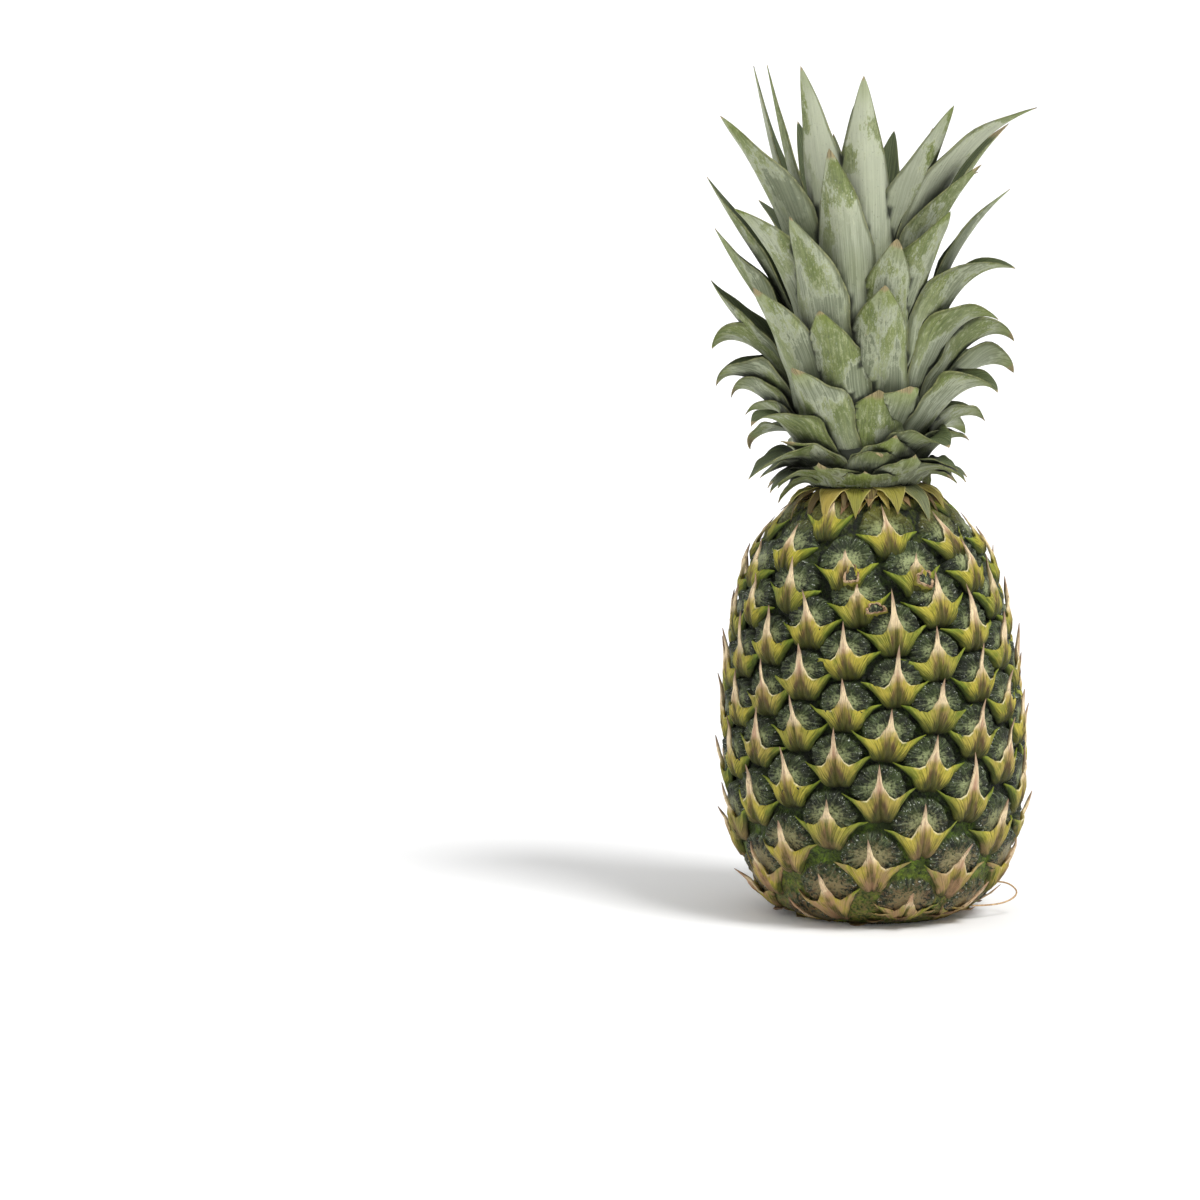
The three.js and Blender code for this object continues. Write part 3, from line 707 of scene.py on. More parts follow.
def make_crown(look):
    """Leaves packed round a short stem, broad clasping scales below and long upright blades above."""
    low_width, top_width = millimetres(look.lower_width), millimetres(look.upper_width)
    rows = []
    for n in range(LEAF_COUNT):
        u, reach, height, turn, tip_lift = leaf_values(n)
        root_height = mix(LEAF_ROOT_LOW, LEAF_ROOT_HIGH, u**1.3)
        width = mix(low_width, top_width, u) + LEAF_WIDTH_MIDDLE * math.sin(math.pi * u)
        rows.append({
            "root": (float(read_outline(CROWN_STEM, root_height)) - LEAF_SINK, root_height),
            "tip": (reach, height), "turn": turn,
            "lifts": (mix(LEAF_LIFT_LOW, LEAF_LIFT_TOP, u**0.6), tip_lift),
            "width": width * OWN_WIDTHS.get(n, 1), "seed": seeded(n + 33),
            "dry": DRY_ENDS.get(n, 0.8 + 1.2 * seeded(n + 8)), "slim": 1 - float(smooth(u * 2.2)),
            "fresh": OWN_BLOOM.get(n, 1 - 0.3 * seeded(n + 91)),
        })
    for n in range(-BASE_LEAF_COUNT, 0):
        low = -n / BASE_LEAF_COUNT
        by_rule = (35 + 6 * seeded(n + 50), 173 + 8 * seeded(n + 70), -55, 0)
        reach, height, tip_lift, extra_turn = BASE_OWN.get(n, by_rule)
        turn = (LEAF_PHASE + n * LEAF_TURN) % (2 * math.pi) + math.radians(extra_turn)
        rows.append({
            "root": (mix(*BASE_LEAF_RADII, low), mix(LEAF_ROOT_LOW, BASE_LEAF_ROOT, low)),
            "tip": (reach, height), "lifts": (BASE_LEAF_LIFT, tip_lift), "turn": turn,
            "width": millimetres(look.scale_width), "seed": seeded(n + 3),
            "dry": DRY_ENDS.get(n, 1.5), "slim": 0.85, "rib": BASE_LEAF_RIB,
        })
    return grow_leaves("crown_leaves", rows)


def make_stem():
    """The short core that carries the leaf bases."""
    angles = 2 * math.pi * np.arange(STEM_CORNERS) / STEM_CORNERS
    rings = [(0.0, FRUIT_TOP - 1), (STEM_FOOT, FRUIT_TOP - 1)]
    rings += [(float(r) - 1, float(z)) for z, r in CROWN_STEM]
    points = []
    for r, z in rings:
        points.extend(leaned(r * np.sin(angles), -r * np.cos(angles), np.full(STEM_CORNERS, z)))
    cap = list(range(len(points) - STEM_CORNERS, len(points)))
    faces = ring_faces(len(rings), STEM_CORNERS) + [cap]
    return join_pieces([add_piece("crown_stem", points, faces)], "crown_stem")


def make_neck():
    """Small bracts that droop from the neck over the shoulder, with dry scraps of older ones behind."""
    bracts = list(NECK_OWN)
    for n in range(NECK_LEAVES):
        turn = NECK_BEHIND + NECK_SPREAD * n / (NECK_LEAVES - 1) + 8 * (seeded(n + 40) - 0.5)
        bracts.append((turn, 31 + 4 * seeded(n + 60), 165 + 4 * seeded(n + 80), 8 + 4 * seeded(n + 5),
                       seeded(n + 95)))
    rows = [{
        "root": (NECK_RADIUS - 1, NECK_ROOT), "tip": (reach, height), "lifts": NECK_LIFTS,
        "turn": math.radians(turn), "width": width, "seed": seeded(n + 7), "rib": 0.9, "edge": 0.35,
        "dry": 0.6 + 2 * seeded(n + 2), "slim": 0.8, "fresh": fresh,
    } for n, (turn, reach, height, width, fresh) in enumerate(bracts)]
    rows += [{
        "root": (NECK_RADIUS - 2, NECK_ROOT - 2),
        "tip": (33 + 4.5 * (seeded(n + 160) - 0.5), 165 + 6 * (seeded(n + 180) - 0.5)),
        "lifts": (-5, -60 + 50 * seeded(n + 120)),
        "turn": 2 * math.pi * (n + 0.9 * (seeded(n + 140) - 0.5)) / NECK_SCRAPS,
        "width": 5 + 5 * seeded(n + 44), "seed": seeded(n + 17), "rib": 0.8, "edge": 0.3,
        "dry": 2 + 12 * seeded(n + 22), "slim": 0.7, "fresh": 0.8 * seeded(n + 66),
    } for n in range(NECK_SCRAPS)]
    return grow_leaves("neck_leaves", rows)


def make_base_scraps():
    """Dry, papery remains of the lowest bracts, round the foot of the fruit."""
    rows = []
    for n in range(BASE_SCRAPS):
        height = 1.5 + 6 * seeded(n + 230)
        foot = float(read_outline(FRUIT_PROFILE, height)) + 0.5
        rows.append({
            "root": (foot - 3, height),
            "tip": (foot + 2.5 + 3 * seeded(n + 250), max(height + 6 * (seeded(n + 270) - 0.35), 0.8)),
            "lifts": (-10, 60 * (seeded(n + 290) - 0.3)),
            "turn": 2 * math.pi * (n + 0.8 * (seeded(n + 210) - 0.5)) / BASE_SCRAPS,
            "width": 6 + 7 * seeded(n + 310), "seed": seeded(n + 330), "rib": 0.7, "edge": 0.3,
            "dry": 2 + 6 * seeded(n + 350), "slim": 0.5, "fresh": 0.45 * seeded(n + 370),
        })
    scraps = grow_leaves("base_bracts", rows)
    for vertex in scraps.data.vertices:
        vertex.co.z = max(vertex.co.z, 0)
    return scraps


def make_fibre(look):
    """A loose dry fibre that hangs from a low bract and curls back to the foot."""
    curve = bpy.data.curves.new("fibre", "CURVE")
    curve.dimensions = "3D"
    curve.bevel_depth = look.fibre_radius
    curve.bevel_resolution = 2
    spline = curve.splines.new("NURBS")
    spline.points.add(len(FIBRE_ROUTE) - 1)
    for point, place in zip(spline.points, FIBRE_ROUTE):
        point.co = (*(MM * value for value in place), 1)
    spline.order_u = 4
    spline.use_endpoint_u = True
    curve.use_fill_caps = True
    fibre = bpy.data.objects.new("fibre", curve)
    bpy.context.scene.collection.objects.link(fibre)
    deselect_all()
    fibre.select_set(True)
    bpy.context.view_layer.objects.active = fibre
    bpy.ops.object.convert(target="MESH")
    return join_pieces([bpy.context.view_layer.objects.active], "fibre")


# ---------------------------------------------------------------- shader maths


class Wire:
    """A number in a material, so that shader maths reads as ordinary arithmetic."""

    def __init__(self, finish, socket):
        self.finish = finish
        self.socket = socket

    def _with(self, operation, a, b):
        return self.finish.node("Math", {"operation": operation}, {0: a, 1: b})

    def __add__(self, other):
        return self._with("ADD", self, other)

    def __sub__(self, other):
        return self._with("SUBTRACT", self, other)

    def __rsub__(self, other):
        return self._with("SUBTRACT", other, self)

    def __mul__(self, other):
        return self._with("MULTIPLY", self, other)

    def __truediv__(self, other):
        return self._with("DIVIDE", self, other)

    __radd__ = __add__
    __rmul__ = __mul__


class Finish:
    """One procedural material, built node by node."""

    def __init__(self, name):
        self.material = bpy.data.materials.new(name)
        self.material.use_nodes = True
        self.tree = self.material.node_tree
        self.shader = self.tree.nodes["Principled BSDF"]

    def node(self, kind, settings=None, sockets=None, output=0):
        """Adds a node: its settings first, then its sockets' values and links."""
        made = self.tree.nodes.new("ShaderNode" + kind)
        for key, value in (settings or {}).items():
            setattr(made, key, value)
        for key, value in (sockets or {}).items():
            self.set(made.inputs[key], value)
        return Wire(self, made.outputs[output])

    def set(self, socket, value):
        if isinstance(value, Wire):
            self.tree.links.new(value.socket, socket)
        elif socket.type == "RGBA":
            socket.default_value = (*value[:3], 1)
        else:
            socket.default_value = value

    def attribute(self, name, output="Fac"):
        return self.node("Attribute", {"attribute_name": name}, output=output)

    def split(self, vector):
        return [self.node("SeparateXYZ", {}, {0: vector}, output=axis) for axis in "XYZ"]

    def parts(self, name):
        """The three numbers of a vector attribute."""
        return self.split(self.attribute(name, "Vector"))

    def level(self):
        """Height above the floor in metres."""
        return self.split(self.node("TexCoord", output="Object"))[2]

    def join(self, x, y, z):
        return self.node("CombineXYZ", {}, {0: x, 1: y, 2: z})

    def noise(self, vector, scale, detail=3.0, rough=0.55):
        return self.node("TexNoise", {}, {"Vector": vector, "Scale": scale, "Detail": detail,
                                          "Roughness": rough})

    def step(self, value, low, high):
        """Runs smoothly from 0 at low to 1 at high."""
        return self.node("MapRange", {"interpolation_type": "SMOOTHSTEP"},
                         {"Value": value, "From Min": low, "From Max": high})

    def size(self, value):
        return self.node("Math", {"operation": "ABSOLUTE"}, {0: value})

    def blend(self, share, first, second):
        return self.node("Mix", {"data_type": "RGBA"}, {0: share, 6: first, 7: second}, output=2)

    def lay(self, colour, *layers):
        """Lays further colours over a first one, each with its share."""
        for share, over in layers:
            colour = self.blend(share, colour, over)
        return colour

    def bump(self, height, distance):
        return self.node("Bump", {}, {"Height": height, "Distance": distance, "Strength": 1.0},
                         output="Normal")

    def done(self, colour, roughness, normal=None, **constants):
        self.set(self.shader.inputs["Base Color"], colour)
        self.set(self.shader.inputs["Roughness"], roughness)
        if normal:
            self.set(self.shader.inputs["Normal"], normal)
        for name, value in constants.items():
            self.shader.inputs[name.replace("_", " ")].default_value = value
        return self.material


# ---------------------------------------------------------------- finishes


def paint_rind(look):
    """Dark crinkled domes with paler middles, partly painted highlight, and painted glints, between grooves
    painted near-black as shade, with green edges.
    """
    f = Finish("rind")
    x, y, seed = f.parts("place")
    rise, far = f.attribute("rise"), f.attribute("far")
    away = f.join(x / DOME_WIDE, (y - DOME_CENTRE) / DOME_HIGH, 0.0)
    hx, hy, _ = f.split(f.node("VectorMath", {"operation": "NORMALIZE"}, {0: away}))
    rays = f.noise(f.join(hx * 8.0, hy * 8.0, seed * 40 + far * 1.3), 1.0, 3.0, 0.6)
    grain = f.noise(f.join(x, y, seed * 60), 1.0, 4.0, 0.6)
    cloud = f.noise(f.join(x, y, seed * 80), 0.22, 2.0)
    level = f.level()

    # painted highlight: a paler middle low on each dome beside the spine, partly the dome's own paler tissue
    lit = (1 - f.step(far, 0.15, 0.95)) * (1 - f.step(y, 3.0, 10.0))
    foot = (1 - f.step(level, 0.02, 0.06)) * f.step(grain + lit * 0.3, 0.5, 0.75)
    # painted highlight: small white glints on the crinkled rims of the domes
    glint = f.step(f.noise(f.join(x, y, seed * 9), 1.6, 2.0), 0.63, 0.7) * f.step(far, 0.55, 0.8)
    # partly the dome's own dark crinkled margin, partly painted shade where the dome falls into the groove;
    # greener near the foot
    rim = f.blend(1 - f.step(level, 0.03, 0.06), tint(14, 18, 9), tint(44, 66, 14))
    dome = f.lay(
        look.dome_colour,
        (f.step(cloud, 0.35, 0.65), tint(72, 86, 46)),
        (f.step(lit + (rays - 0.5) * 1.1 + (grain - 0.5) * 1.5, 0.25, 1.1), look.dome_middle_colour),
        (foot * 0.7, tint(158, 134, 98)),
        (f.step(rays, 0.54, 0.64) * f.step(far, 0.3, 0.7) * 0.6, tint(122, 132, 100)),
        (f.step(1 - rays, 0.5, 0.62) * f.step(far, 0.35, 0.75) * 0.75, tint(20, 25, 14)),
        (f.step(1 - grain, 0.5, 0.66) * 0.6, tint(14, 17, 9)),
        (glint * 0.85, tint(222, 228, 214)),
        (f.step(far + (grain - 0.5) * 0.3, 0.9, 1.02) * 0.9, rim),
        (f.step(level + (grain - 0.5) * 0.01, 0.155, 0.168) * 0.6, tint(128, 124, 44)),
    )

    patch = f.step(f.noise(f.join(x, y, seed * 21 + 5), 0.3, 2.0), 0.42, 0.68)
    low = 1 - f.step(level, 0.015, 0.06)
    # painted shade: the deep grooves are near-black, with their fresh green only in patches and near the
    # foot
    groove = f.lay(
        look.groove_shade_colour,
        (patch * 0.3 + low * (0.45 + 0.5 * patch),
         f.blend(low, look.groove_edge_colour, tint(112, 136, 36))),
        (f.step(1 - grain, 0.48, 0.62) * 0.75, tint(30, 42, 10)),
        (f.step(level, 0.14, 0.165) * patch * 0.6, tint(96, 104, 32)),
    )
    dried = (1 - f.step(level, 0.002, 0.03)) * f.step(grain, 0.42, 0.62)
    colour = f.lay(groove, (f.step(rise, 0.05, 0.6), dome), (dried * 0.75, tint(142, 112, 74)))
    height = rays * f.step(far, 0.15, 0.6) * 1.2 + grain * 0.9
    return f.done(colour, 0.34 + 0.35 * grain, f.bump(height, 0.0022), Specular_IOR_Level=0.38)


def paint_bracts(look):
    """Olive to yellow-green stars with fanned fibres, a pale upper edge and a dry, pinkish spine, darker
    below, partly as painted shade, with a painted shadow line along the lower edge.
    """
    f = Finish("bracts")
    x, y, seed = f.parts("place")
    edge = f.attribute("edge")
    level = f.level()
    out = f.size(x)
    fan = f.node("Math", {"operation": "ARCTAN2"}, {0: x, 1: y + 15.0})
    broad = f.noise(f.join(fan * 9.0, y * 0.08, seed * 50), 1.0, 2.0)
    streak = f.noise(f.join(fan * 30.0, y * 0.12 + out * 0.05, seed * 20), 1.0, 4.0, 0.62)
    fine = f.noise(f.join(fan * 95.0, y * 0.3, seed * 30), 1.0, 2.0)
    patch = f.noise(f.join(x * 0.2, y * 0.2, seed * 70), 1.0, 3.0)

    middle = 1 - f.step(out + (patch - 0.5) * 8.0, 0.8, 4.6)
    middle = middle * f.step(broad * 0.5 + streak * 0.5 + patch * 0.4, 0.5, 0.85)
    fork = 1 - f.step(f.size(out - (1.5 - y) * 0.4 + (streak - 0.5) * 3.0), 0.3, 1.5)
    fork = fork * (1 - f.step(y, -2.5, 0.5)) * f.step(fine * 0.5 + broad * 0.5 + seed * 0.15, 0.46, 0.6)
    # darker green over the lower part of each bract: partly its own colour, partly painted shade on its face
    # that turns downwards
    low = 1 - f.step(edge + (streak - 0.5) * 0.5 + (patch - 0.5) * 0.4, 0.14, 0.72)
    line = f.step(edge, 0.91, 0.99) * f.step(out, 1.6, 2.6) * (1 - f.step(out, 4.6, 8.0))
    line = line * f.step(seed + (patch - 0.5) * 2.4, 0.25, 0.7)
    body = f.lay(
        look.bract_colour,
        (f.step(level, 0.10, 0.17) * 0.7, look.bract_top_colour),
        (f.step(seed, 0.6, 0.95) * 0.45, tint(160, 136, 84)),
        ((1 - f.step(seed, 0.05, 0.35)) * 0.45, tint(112, 128, 44)),
        (f.step(patch + (broad - 0.5) * 0.6, 0.45, 0.7) * 0.7, tint(108, 118, 28)),
        (f.step(streak, 0.5, 0.68) * 0.55, tint(230, 214, 104)),
        (f.step(1 - streak, 0.5, 0.66) * 0.7, tint(66, 78, 14)),
        (f.step(out + (patch - 0.5) * 6.0, 5.5, 12.0) * 0.75, tint(112, 138, 34)),
        (f.step(1 - fine, 0.62, 0.72) * f.step(patch, 0.45, 0.6) * 0.5, tint(96, 66, 34)),
        (middle * 0.75, look.streak_colour),
        (fork * 0.8, tint(98, 58, 48)),
        (low * 0.85, tint(46, 64, 8)),
        (line * 0.85, tint(250, 240, 190)),
    )
    spine = f.lay(
        look.spine_colour,
        (f.step(1 - edge + (fine - 0.5) * 0.6 + (seed - 0.5) * 0.5, 0.25, 0.6), tint(196, 154, 124)),
        (f.step(fine, 0.5, 0.7) * 0.7, tint(228, 200, 164)),
        (f.step(1 - fine, 0.52, 0.7) * 0.7, tint(122, 80, 60)),
        (f.step(y + (patch - 0.5) * 6.0, 7.0, 13.0) * 0.75, tint(126, 88, 72)),
    )
    papery = (1 - f.step(level, 0.012, 0.052)) * f.step(patch + streak * 0.5, 0.6, 0.88)
    colour = f.lay(
        body,
        (f.step(y + (patch - 0.5) * 5.0, 0.0, 5.0) * (1 - f.step(out, 3.4, 4.6)), spine),
        (papery * 0.8, f.blend(fine, tint(160, 110, 82), tint(226, 186, 142))),
        # painted shadow: a near-black line along the lower edge, where the bract tucks into the groove
        ((1 - f.step(edge, 0.0, 0.12)) * 0.7, tint(22, 30, 8)),
    )
    height = streak * 0.9 + fine * 0.5 + patch * 0.5
    return f.done(colour, 0.5 + 0.25 * streak, f.bump(height, 0.0012), Specular_IOR_Level=0.35)


def paint_torn(look):
    """Tan, curled tissue round a glimpse of the dark dome, with painted shade under the curl."""
    f = Finish("torn_rims")
    share = f.attribute("share")
    spot = f.node("TexCoord", output="Object")
    grain = f.noise(spot, 900.0, 4.0, 0.65)
    broad = f.noise(spot, 260.0, 2.0)
    tan = f.lay(
        tint(146, 110, 80),
        (f.step(broad, 0.35, 0.65), tint(220, 190, 150)),
        (f.step(1 - grain, 0.48, 0.62) * 0.85, tint(84, 58, 40)),
        (f.step(share, 1.16, 1.32), tint(140, 134, 48)),
    )
    dome = f.lay(
        look.dome_colour,
        (f.step(grain, 0.5, 0.7), look.dome_middle_colour),
        # painted shade: near-black inside the curled rim, over the dome
        (f.step(share, 0.6, 0.85) * 0.9, tint(20, 20, 12)),
    )
    colour = f.blend(f.step(share, 0.84, 0.92), dome, tan)
    return f.done(colour, 0.5 + 0.3 * grain, f.bump(grain, 0.0008), Specular_IOR_Level=0.4)


def paint_dry():
    """Dry, papery tissue, tan with brown fibres."""
    f = Finish("dry_fibre")
    spot = f.node("TexCoord", output="Object")
    grain = f.noise(spot, 700.0, 3.0, 0.65)
    colour = f.blend(f.step(grain, 0.4, 0.65), tint(168, 132, 92), tint(206, 174, 128))
    return f.done(colour, 0.6, f.bump(grain, 0.0003), Specular_IOR_Level=0.3)


def paint_leaves(look):
    """Grey bloom over green, rubbed away in patches, with dark edges, fine ribs and dead tips, painted light
    high in the crown, and painted shade low in it and where other leaves close a place off.
    """
    f = Finish("crown_leaves")
    x, along, seed = f.parts("place")
    edge, left, face = f.parts("form")
    dry_length, occlusion_shade, kept_bloom = f.attribute("dry"), f.attribute("occlusion_shade"), f.attribute("fresh")
    level = f.level()
    ribs = f.noise(f.join(x * 1.9, along * 0.03, seed * 50), 1.0, 3.0, 0.6)
    fibre = f.noise(f.join(x * 5.5, along * 0.08, seed * 80), 1.0, 2.0)
    patch = f.noise(f.join(x * 0.1, along * 0.045, seed * 90), 1.0, 2.0, 0.5)
    speck = f.noise(f.join(x * 0.75, along * 0.3, seed * 20), 1.0, 5.0, 0.75)
    cloud = f.noise(f.join(x * 0.06, along * 0.04, seed * 60), 1.0, 2.0)

    fine_ribs = f.step(ribs, 0.34, 0.66)
    bare = (1 - kept_bloom) * (0.55 + cloud * 0.7)
    bloom = f.lay(
        look.bloom_shade_colour,
        (fine_ribs, look.bloom_colour),
        (f.step(cloud, 0.4, 0.7) * 0.4, tint(138, 146, 104)),
        # painted light: the bloom is lighter high in the crown; painted shade: darker low in the crown
        (f.step(level, 0.25, 0.31) * 0.6, tint(212, 217, 190)),
        ((1 - f.step(level, 0.178, 0.215)) * 0.4, tint(84, 88, 62)),
        (bare * 0.9, f.blend(fine_ribs, tint(72, 84, 50), tint(98, 108, 72))),
    )
    rub = f.lay(
        tint(96, 112, 48),
        (f.step(ribs, 0.35, 0.65), look.rubbed_colour),
        (f.step(speck, 0.5, 0.62) * 0.7, tint(172, 178, 134)),
        (f.step(1 - speck, 0.56, 0.66) * 0.7, tint(66, 76, 34)),
    )
    upper = 1 - f.step(left, 24.0, 58.0)
    ragged = patch + (speck - 0.5) * 0.5 + (ribs - 0.5) * 0.12 + upper * 0.08 + (seed - 0.5) * 0.1
    chalk = f.step(ragged, 0.47, 0.54) * (0.25 + upper * 0.75)
    worn = f.step(ragged, 0.545, 0.61) * (0.15 + upper * 0.85)
    fresh_tip = (1 - f.step(left + (patch - 0.5) * 12.0, 2.0, 13.0)) * (1 - 0.4 * f.step(level, 0.23, 0.27))
    scar = f.step(f.noise(f.join(x * 0.5, along * 0.22, seed * 33), 1.0, 5.0, 0.75), 0.66, 0.72)
    dirt = f.step(f.noise(f.join(x * 1.4, along * 0.6, seed * 13), 1.0, 3.0, 0.7), 0.62, 0.74)
    outer = f.lay(
        bloom,
        (chalk * 0.6, tint(196, 202, 172)),
        (worn * (0.6 + cloud * 0.6), rub),
        (fresh_tip * 0.6, tint(134, 148, 62)),
        (scar * upper * 0.75, tint(150, 128, 92)),
        (dirt * 0.5, tint(60, 64, 40)),
    )
    inner = f.lay(
        look.upper_face_colour,
        (f.step(ribs, 0.4, 0.7), tint(94, 104, 62)),
        (scar * 0.6, tint(170, 160, 120)),
    )
    torn = left + (fibre - 0.5) * 3.0 + (patch - 0.5) * 8.0
    dead = 1 - f.step(torn, dry_length * 0.55, dry_length)
    colour = f.lay(
        outer,
        (f.step(face, -0.2, 0.2), inner),
        (f.step(edge + (speck - 0.5) * 0.1, 0.86, 0.95) * 0.6, tint(78, 84, 40)),
        (f.step(edge, 0.95, 0.99) * f.step(speck, 0.4, 0.6) * 0.5, tint(158, 158, 104)),
        (dead * 0.9, f.blend(f.step(fibre, 0.35, 0.65), look.dry_tip_colour, tint(112, 98, 66))),
        # painted shade: near-black where other leaves close a place off, and over the whole stem
        (f.step(occlusion_shade, 0.1, 0.62) * 0.93, tint(24, 30, 16)),
    )
    height = ribs * 0.8 + fibre * 0.5 + speck * 0.5
    return f.done(colour, 0.46 + 0.25 * fibre, f.bump(height, 0.0007), Specular_IOR_Level=0.45)


def paint_neck(look):
    """Golden and yellow-green small bracts with brown, papery ends and painted shade at their roots."""
    f = Finish("neck_leaves")
    x, along, seed = f.parts("place")
    edge, left, face = f.parts("form")
    dry_length, fresh = f.attribute("dry"), f.attribute("fresh")
    ribs = f.noise(f.join(x * 2.4, along * 0.08, seed * 50), 1.0, 3.0)
    patch = f.noise(f.join(x * 0.25, along * 0.16, seed * 90), 1.0, 3.0)
    dead = 1 - f.step(left + (ribs - 0.5) * 5.0, dry_length * 0.4, dry_length)
    colour = f.lay(
        tint(112, 84, 54),
        (f.step(fresh, 0.2, 0.5), look.neck_colour),
        (f.step(fresh, 0.6, 1.0) * 0.8, tint(150, 166, 48)),
        (f.step(fresh, 1.1, 1.3), tint(130, 144, 108)),
        (f.step(patch, 0.5, 0.8) * 0.6, tint(112, 122, 34)),
        (f.step(ribs, 0.5, 0.72) * 0.6, tint(220, 204, 120)),
        (f.step(1 - ribs, 0.5, 0.72) * 0.7, tint(62, 54, 22)),
        (f.step(face, -0.2, 0.2) * 0.55, tint(70, 66, 24)),
        (dead * 0.85, f.blend(patch, tint(66, 44, 30), tint(158, 122, 84))),
        (f.step(edge, 0.9, 0.99) * f.step(fresh, 0.3, 0.5) * 0.5, tint(228, 216, 140)),
        # painted shade: darker at the roots, where the bracts tuck in
        ((1 - f.step(along, 1.0, 7.0)) * 0.7, tint(40, 34, 18)),
    )
    return f.done(colour, 0.5 + 0.2 * ribs, f.bump(ribs, 0.0007), Specular_IOR_Level=0.4)


def paint_floor(look):
    f = Finish("floor")
    speck = f.noise(f.node("TexCoord", output="Object"), 30.0, 2.0)
    colour = f.blend(speck * 0.2, look.floor_colour, tuple(0.97 * c for c in look.floor_colour))
    return f.done(colour, 0.75, Specular_IOR_Level=0.2)


# ---------------------------------------------------------------- stage


def make_floor(look):
    """A pale floor that curves up all round into a backdrop, made from its upper rim downwards."""
    reach, height = FLOOR_REACH + FLOOR_SWEEP, BACKDROP_HEIGHT
    deselect_all()
    bpy.ops.mesh.primitive_circle_add(vertices=96, radius=reach, fill_type="NGON", location=(0, 0, height))
    floor = bpy.context.active_object
    floor.name = "floor"
    steps = [math.radians(90 - 9 * i) for i in range(11)]
    rings = [(FLOOR_REACH + FLOOR_SWEEP * math.sin(a), FLOOR_SWEEP * (1 - math.cos(a))) for a in steps]
    bpy.ops.object.mode_set(mode="EDIT")
    for wide, high in rings + [(FLOOR_REACH * 0.9, 0)]:
        bpy.ops.mesh.extrude_region_move(TRANSFORM_OT_translate={"value": (0, 0, high - height)})
        bpy.ops.transform.resize(value=(wide / reach, wide / reach, 1))
        reach, height = wide, high
    bpy.ops.mesh.select_all(action="DESELECT")
    bpy.ops.object.mode_set(mode="OBJECT")
    bpy.ops.object.transform_apply()
    for face in floor.data.polygons:
        face.select = face.center.z > BACKDROP_HEIGHT - 0.01
    bpy.ops.object.mode_set(mode="EDIT")
    bpy.ops.mesh.select_mode(type="FACE")
    bpy.ops.mesh.delete(type="FACE")
    bpy.ops.object.mode_set(mode="OBJECT")
    floor.data.shade_smooth()
    floor.data.materials.append(paint_floor(look))
    deselect_all()


def aim(thing, place, target):
    """Puts a light or a camera in its place and turns it towards its target."""
    thing.location = place
    thing.rotation_euler = (Vector(target) - Vector(place)).to_track_quat("-Z", "Y").to_euler()


def make_lights(look):
    """A broad soft light from above on the right, in a white room."""
    light = bpy.data.lights.new("key", "SUN")
    light.energy = look.key_strength
    light.angle = KEY_SPREAD
    lamp = bpy.data.objects.new("key", light)
    aim(lamp, KEY_PLACE, (0, 0, 0))
    bpy.context.scene.collection.objects.link(lamp)
    world = bpy.data.worlds.new("studio")
    world.use_nodes = True
    background = world.node_tree.nodes["Background"]
    background.inputs["Color"].default_value = (1, 1, 1, 1)
    background.inputs["Strength"].default_value = look.room_strength
    bpy.context.scene.world = world
    bpy.context.scene.view_settings.view_transform = "Standard"


def make_camera(look):
    """A view from the front, whose lens keeps the fruit's size in the picture at any distance."""
    camera = bpy.data.cameras.new("view")
    camera.lens = VIEW_LENS * look.view_distance / VIEW_DISTANCE
    camera.sensor_width = 36
    holder = bpy.data.objects.new("view", camera)
    away = look.view_distance * np.array([0, -math.cos(VIEW_RISE), math.sin(VIEW_RISE)])
    aim(holder, tuple(VIEW_TARGET + away), tuple(VIEW_TARGET))
    bpy.context.scene.collection.objects.link(holder)
    bpy.context.scene.camera = holder


# ---------------------------------------------------------------- settings


def colour_setting(name, description, default):
    return bpy.props.FloatVectorProperty(name=name, description=description, default=default,
                                         subtype="COLOR", size=3, min=0, max=1)


def size_setting(name, description, default):
    return bpy.props.FloatProperty(name=name, description=description, default=default * MM, min=0,
                                   precision=4, unit="LENGTH")


class FruitSettings(bpy.types.PropertyGroup):
    """Sizes and colours of the fruit."""

    dome_rise: size_setting("Dome height", "How far the eyes stand off the skin", DOME_RISE)
    bract_ridge: size_setting("Bract height", "How far a bract's middle stands off the skin", BRACT_RIDGE)
    fibre_radius: size_setting("Fibre radius", "Half the thickness of the loose fibre", FIBRE_RADIUS)
    dome_colour: colour_setting("Dome", "Skin of the eyes", tint(38, 45, 27))
    # the paler middle of the eyes: partly their own paler tissue, partly a painted highlight on the domes
    dome_middle_colour: colour_setting("Dome middle", "Paler middle of the eyes", tint(168, 178, 126))
    # near-black: painted shade of the deep grooves
    groove_shade_colour: colour_setting("Groove", "Deep gaps between the eyes", tint(12, 17, 6))
    groove_edge_colour: colour_setting("Groove edge", "Fresh green along the gaps", tint(84, 112, 26))
    bract_colour: colour_setting("Bract", "Star-shaped bracts", tint(198, 182, 66))
    bract_top_colour: colour_setting("Upper bract", "Bracts near the shoulder", tint(198, 190, 44))
    streak_colour: colour_setting("Streak", "Tan fibres in the middle of a bract", tint(178, 138, 102))
    spine_colour: colour_setting("Spine", "Dry spine of a bract", tint(250, 228, 184))
    neck_colour: colour_setting("Neck", "Small bracts under the crown", tint(228, 200, 92))


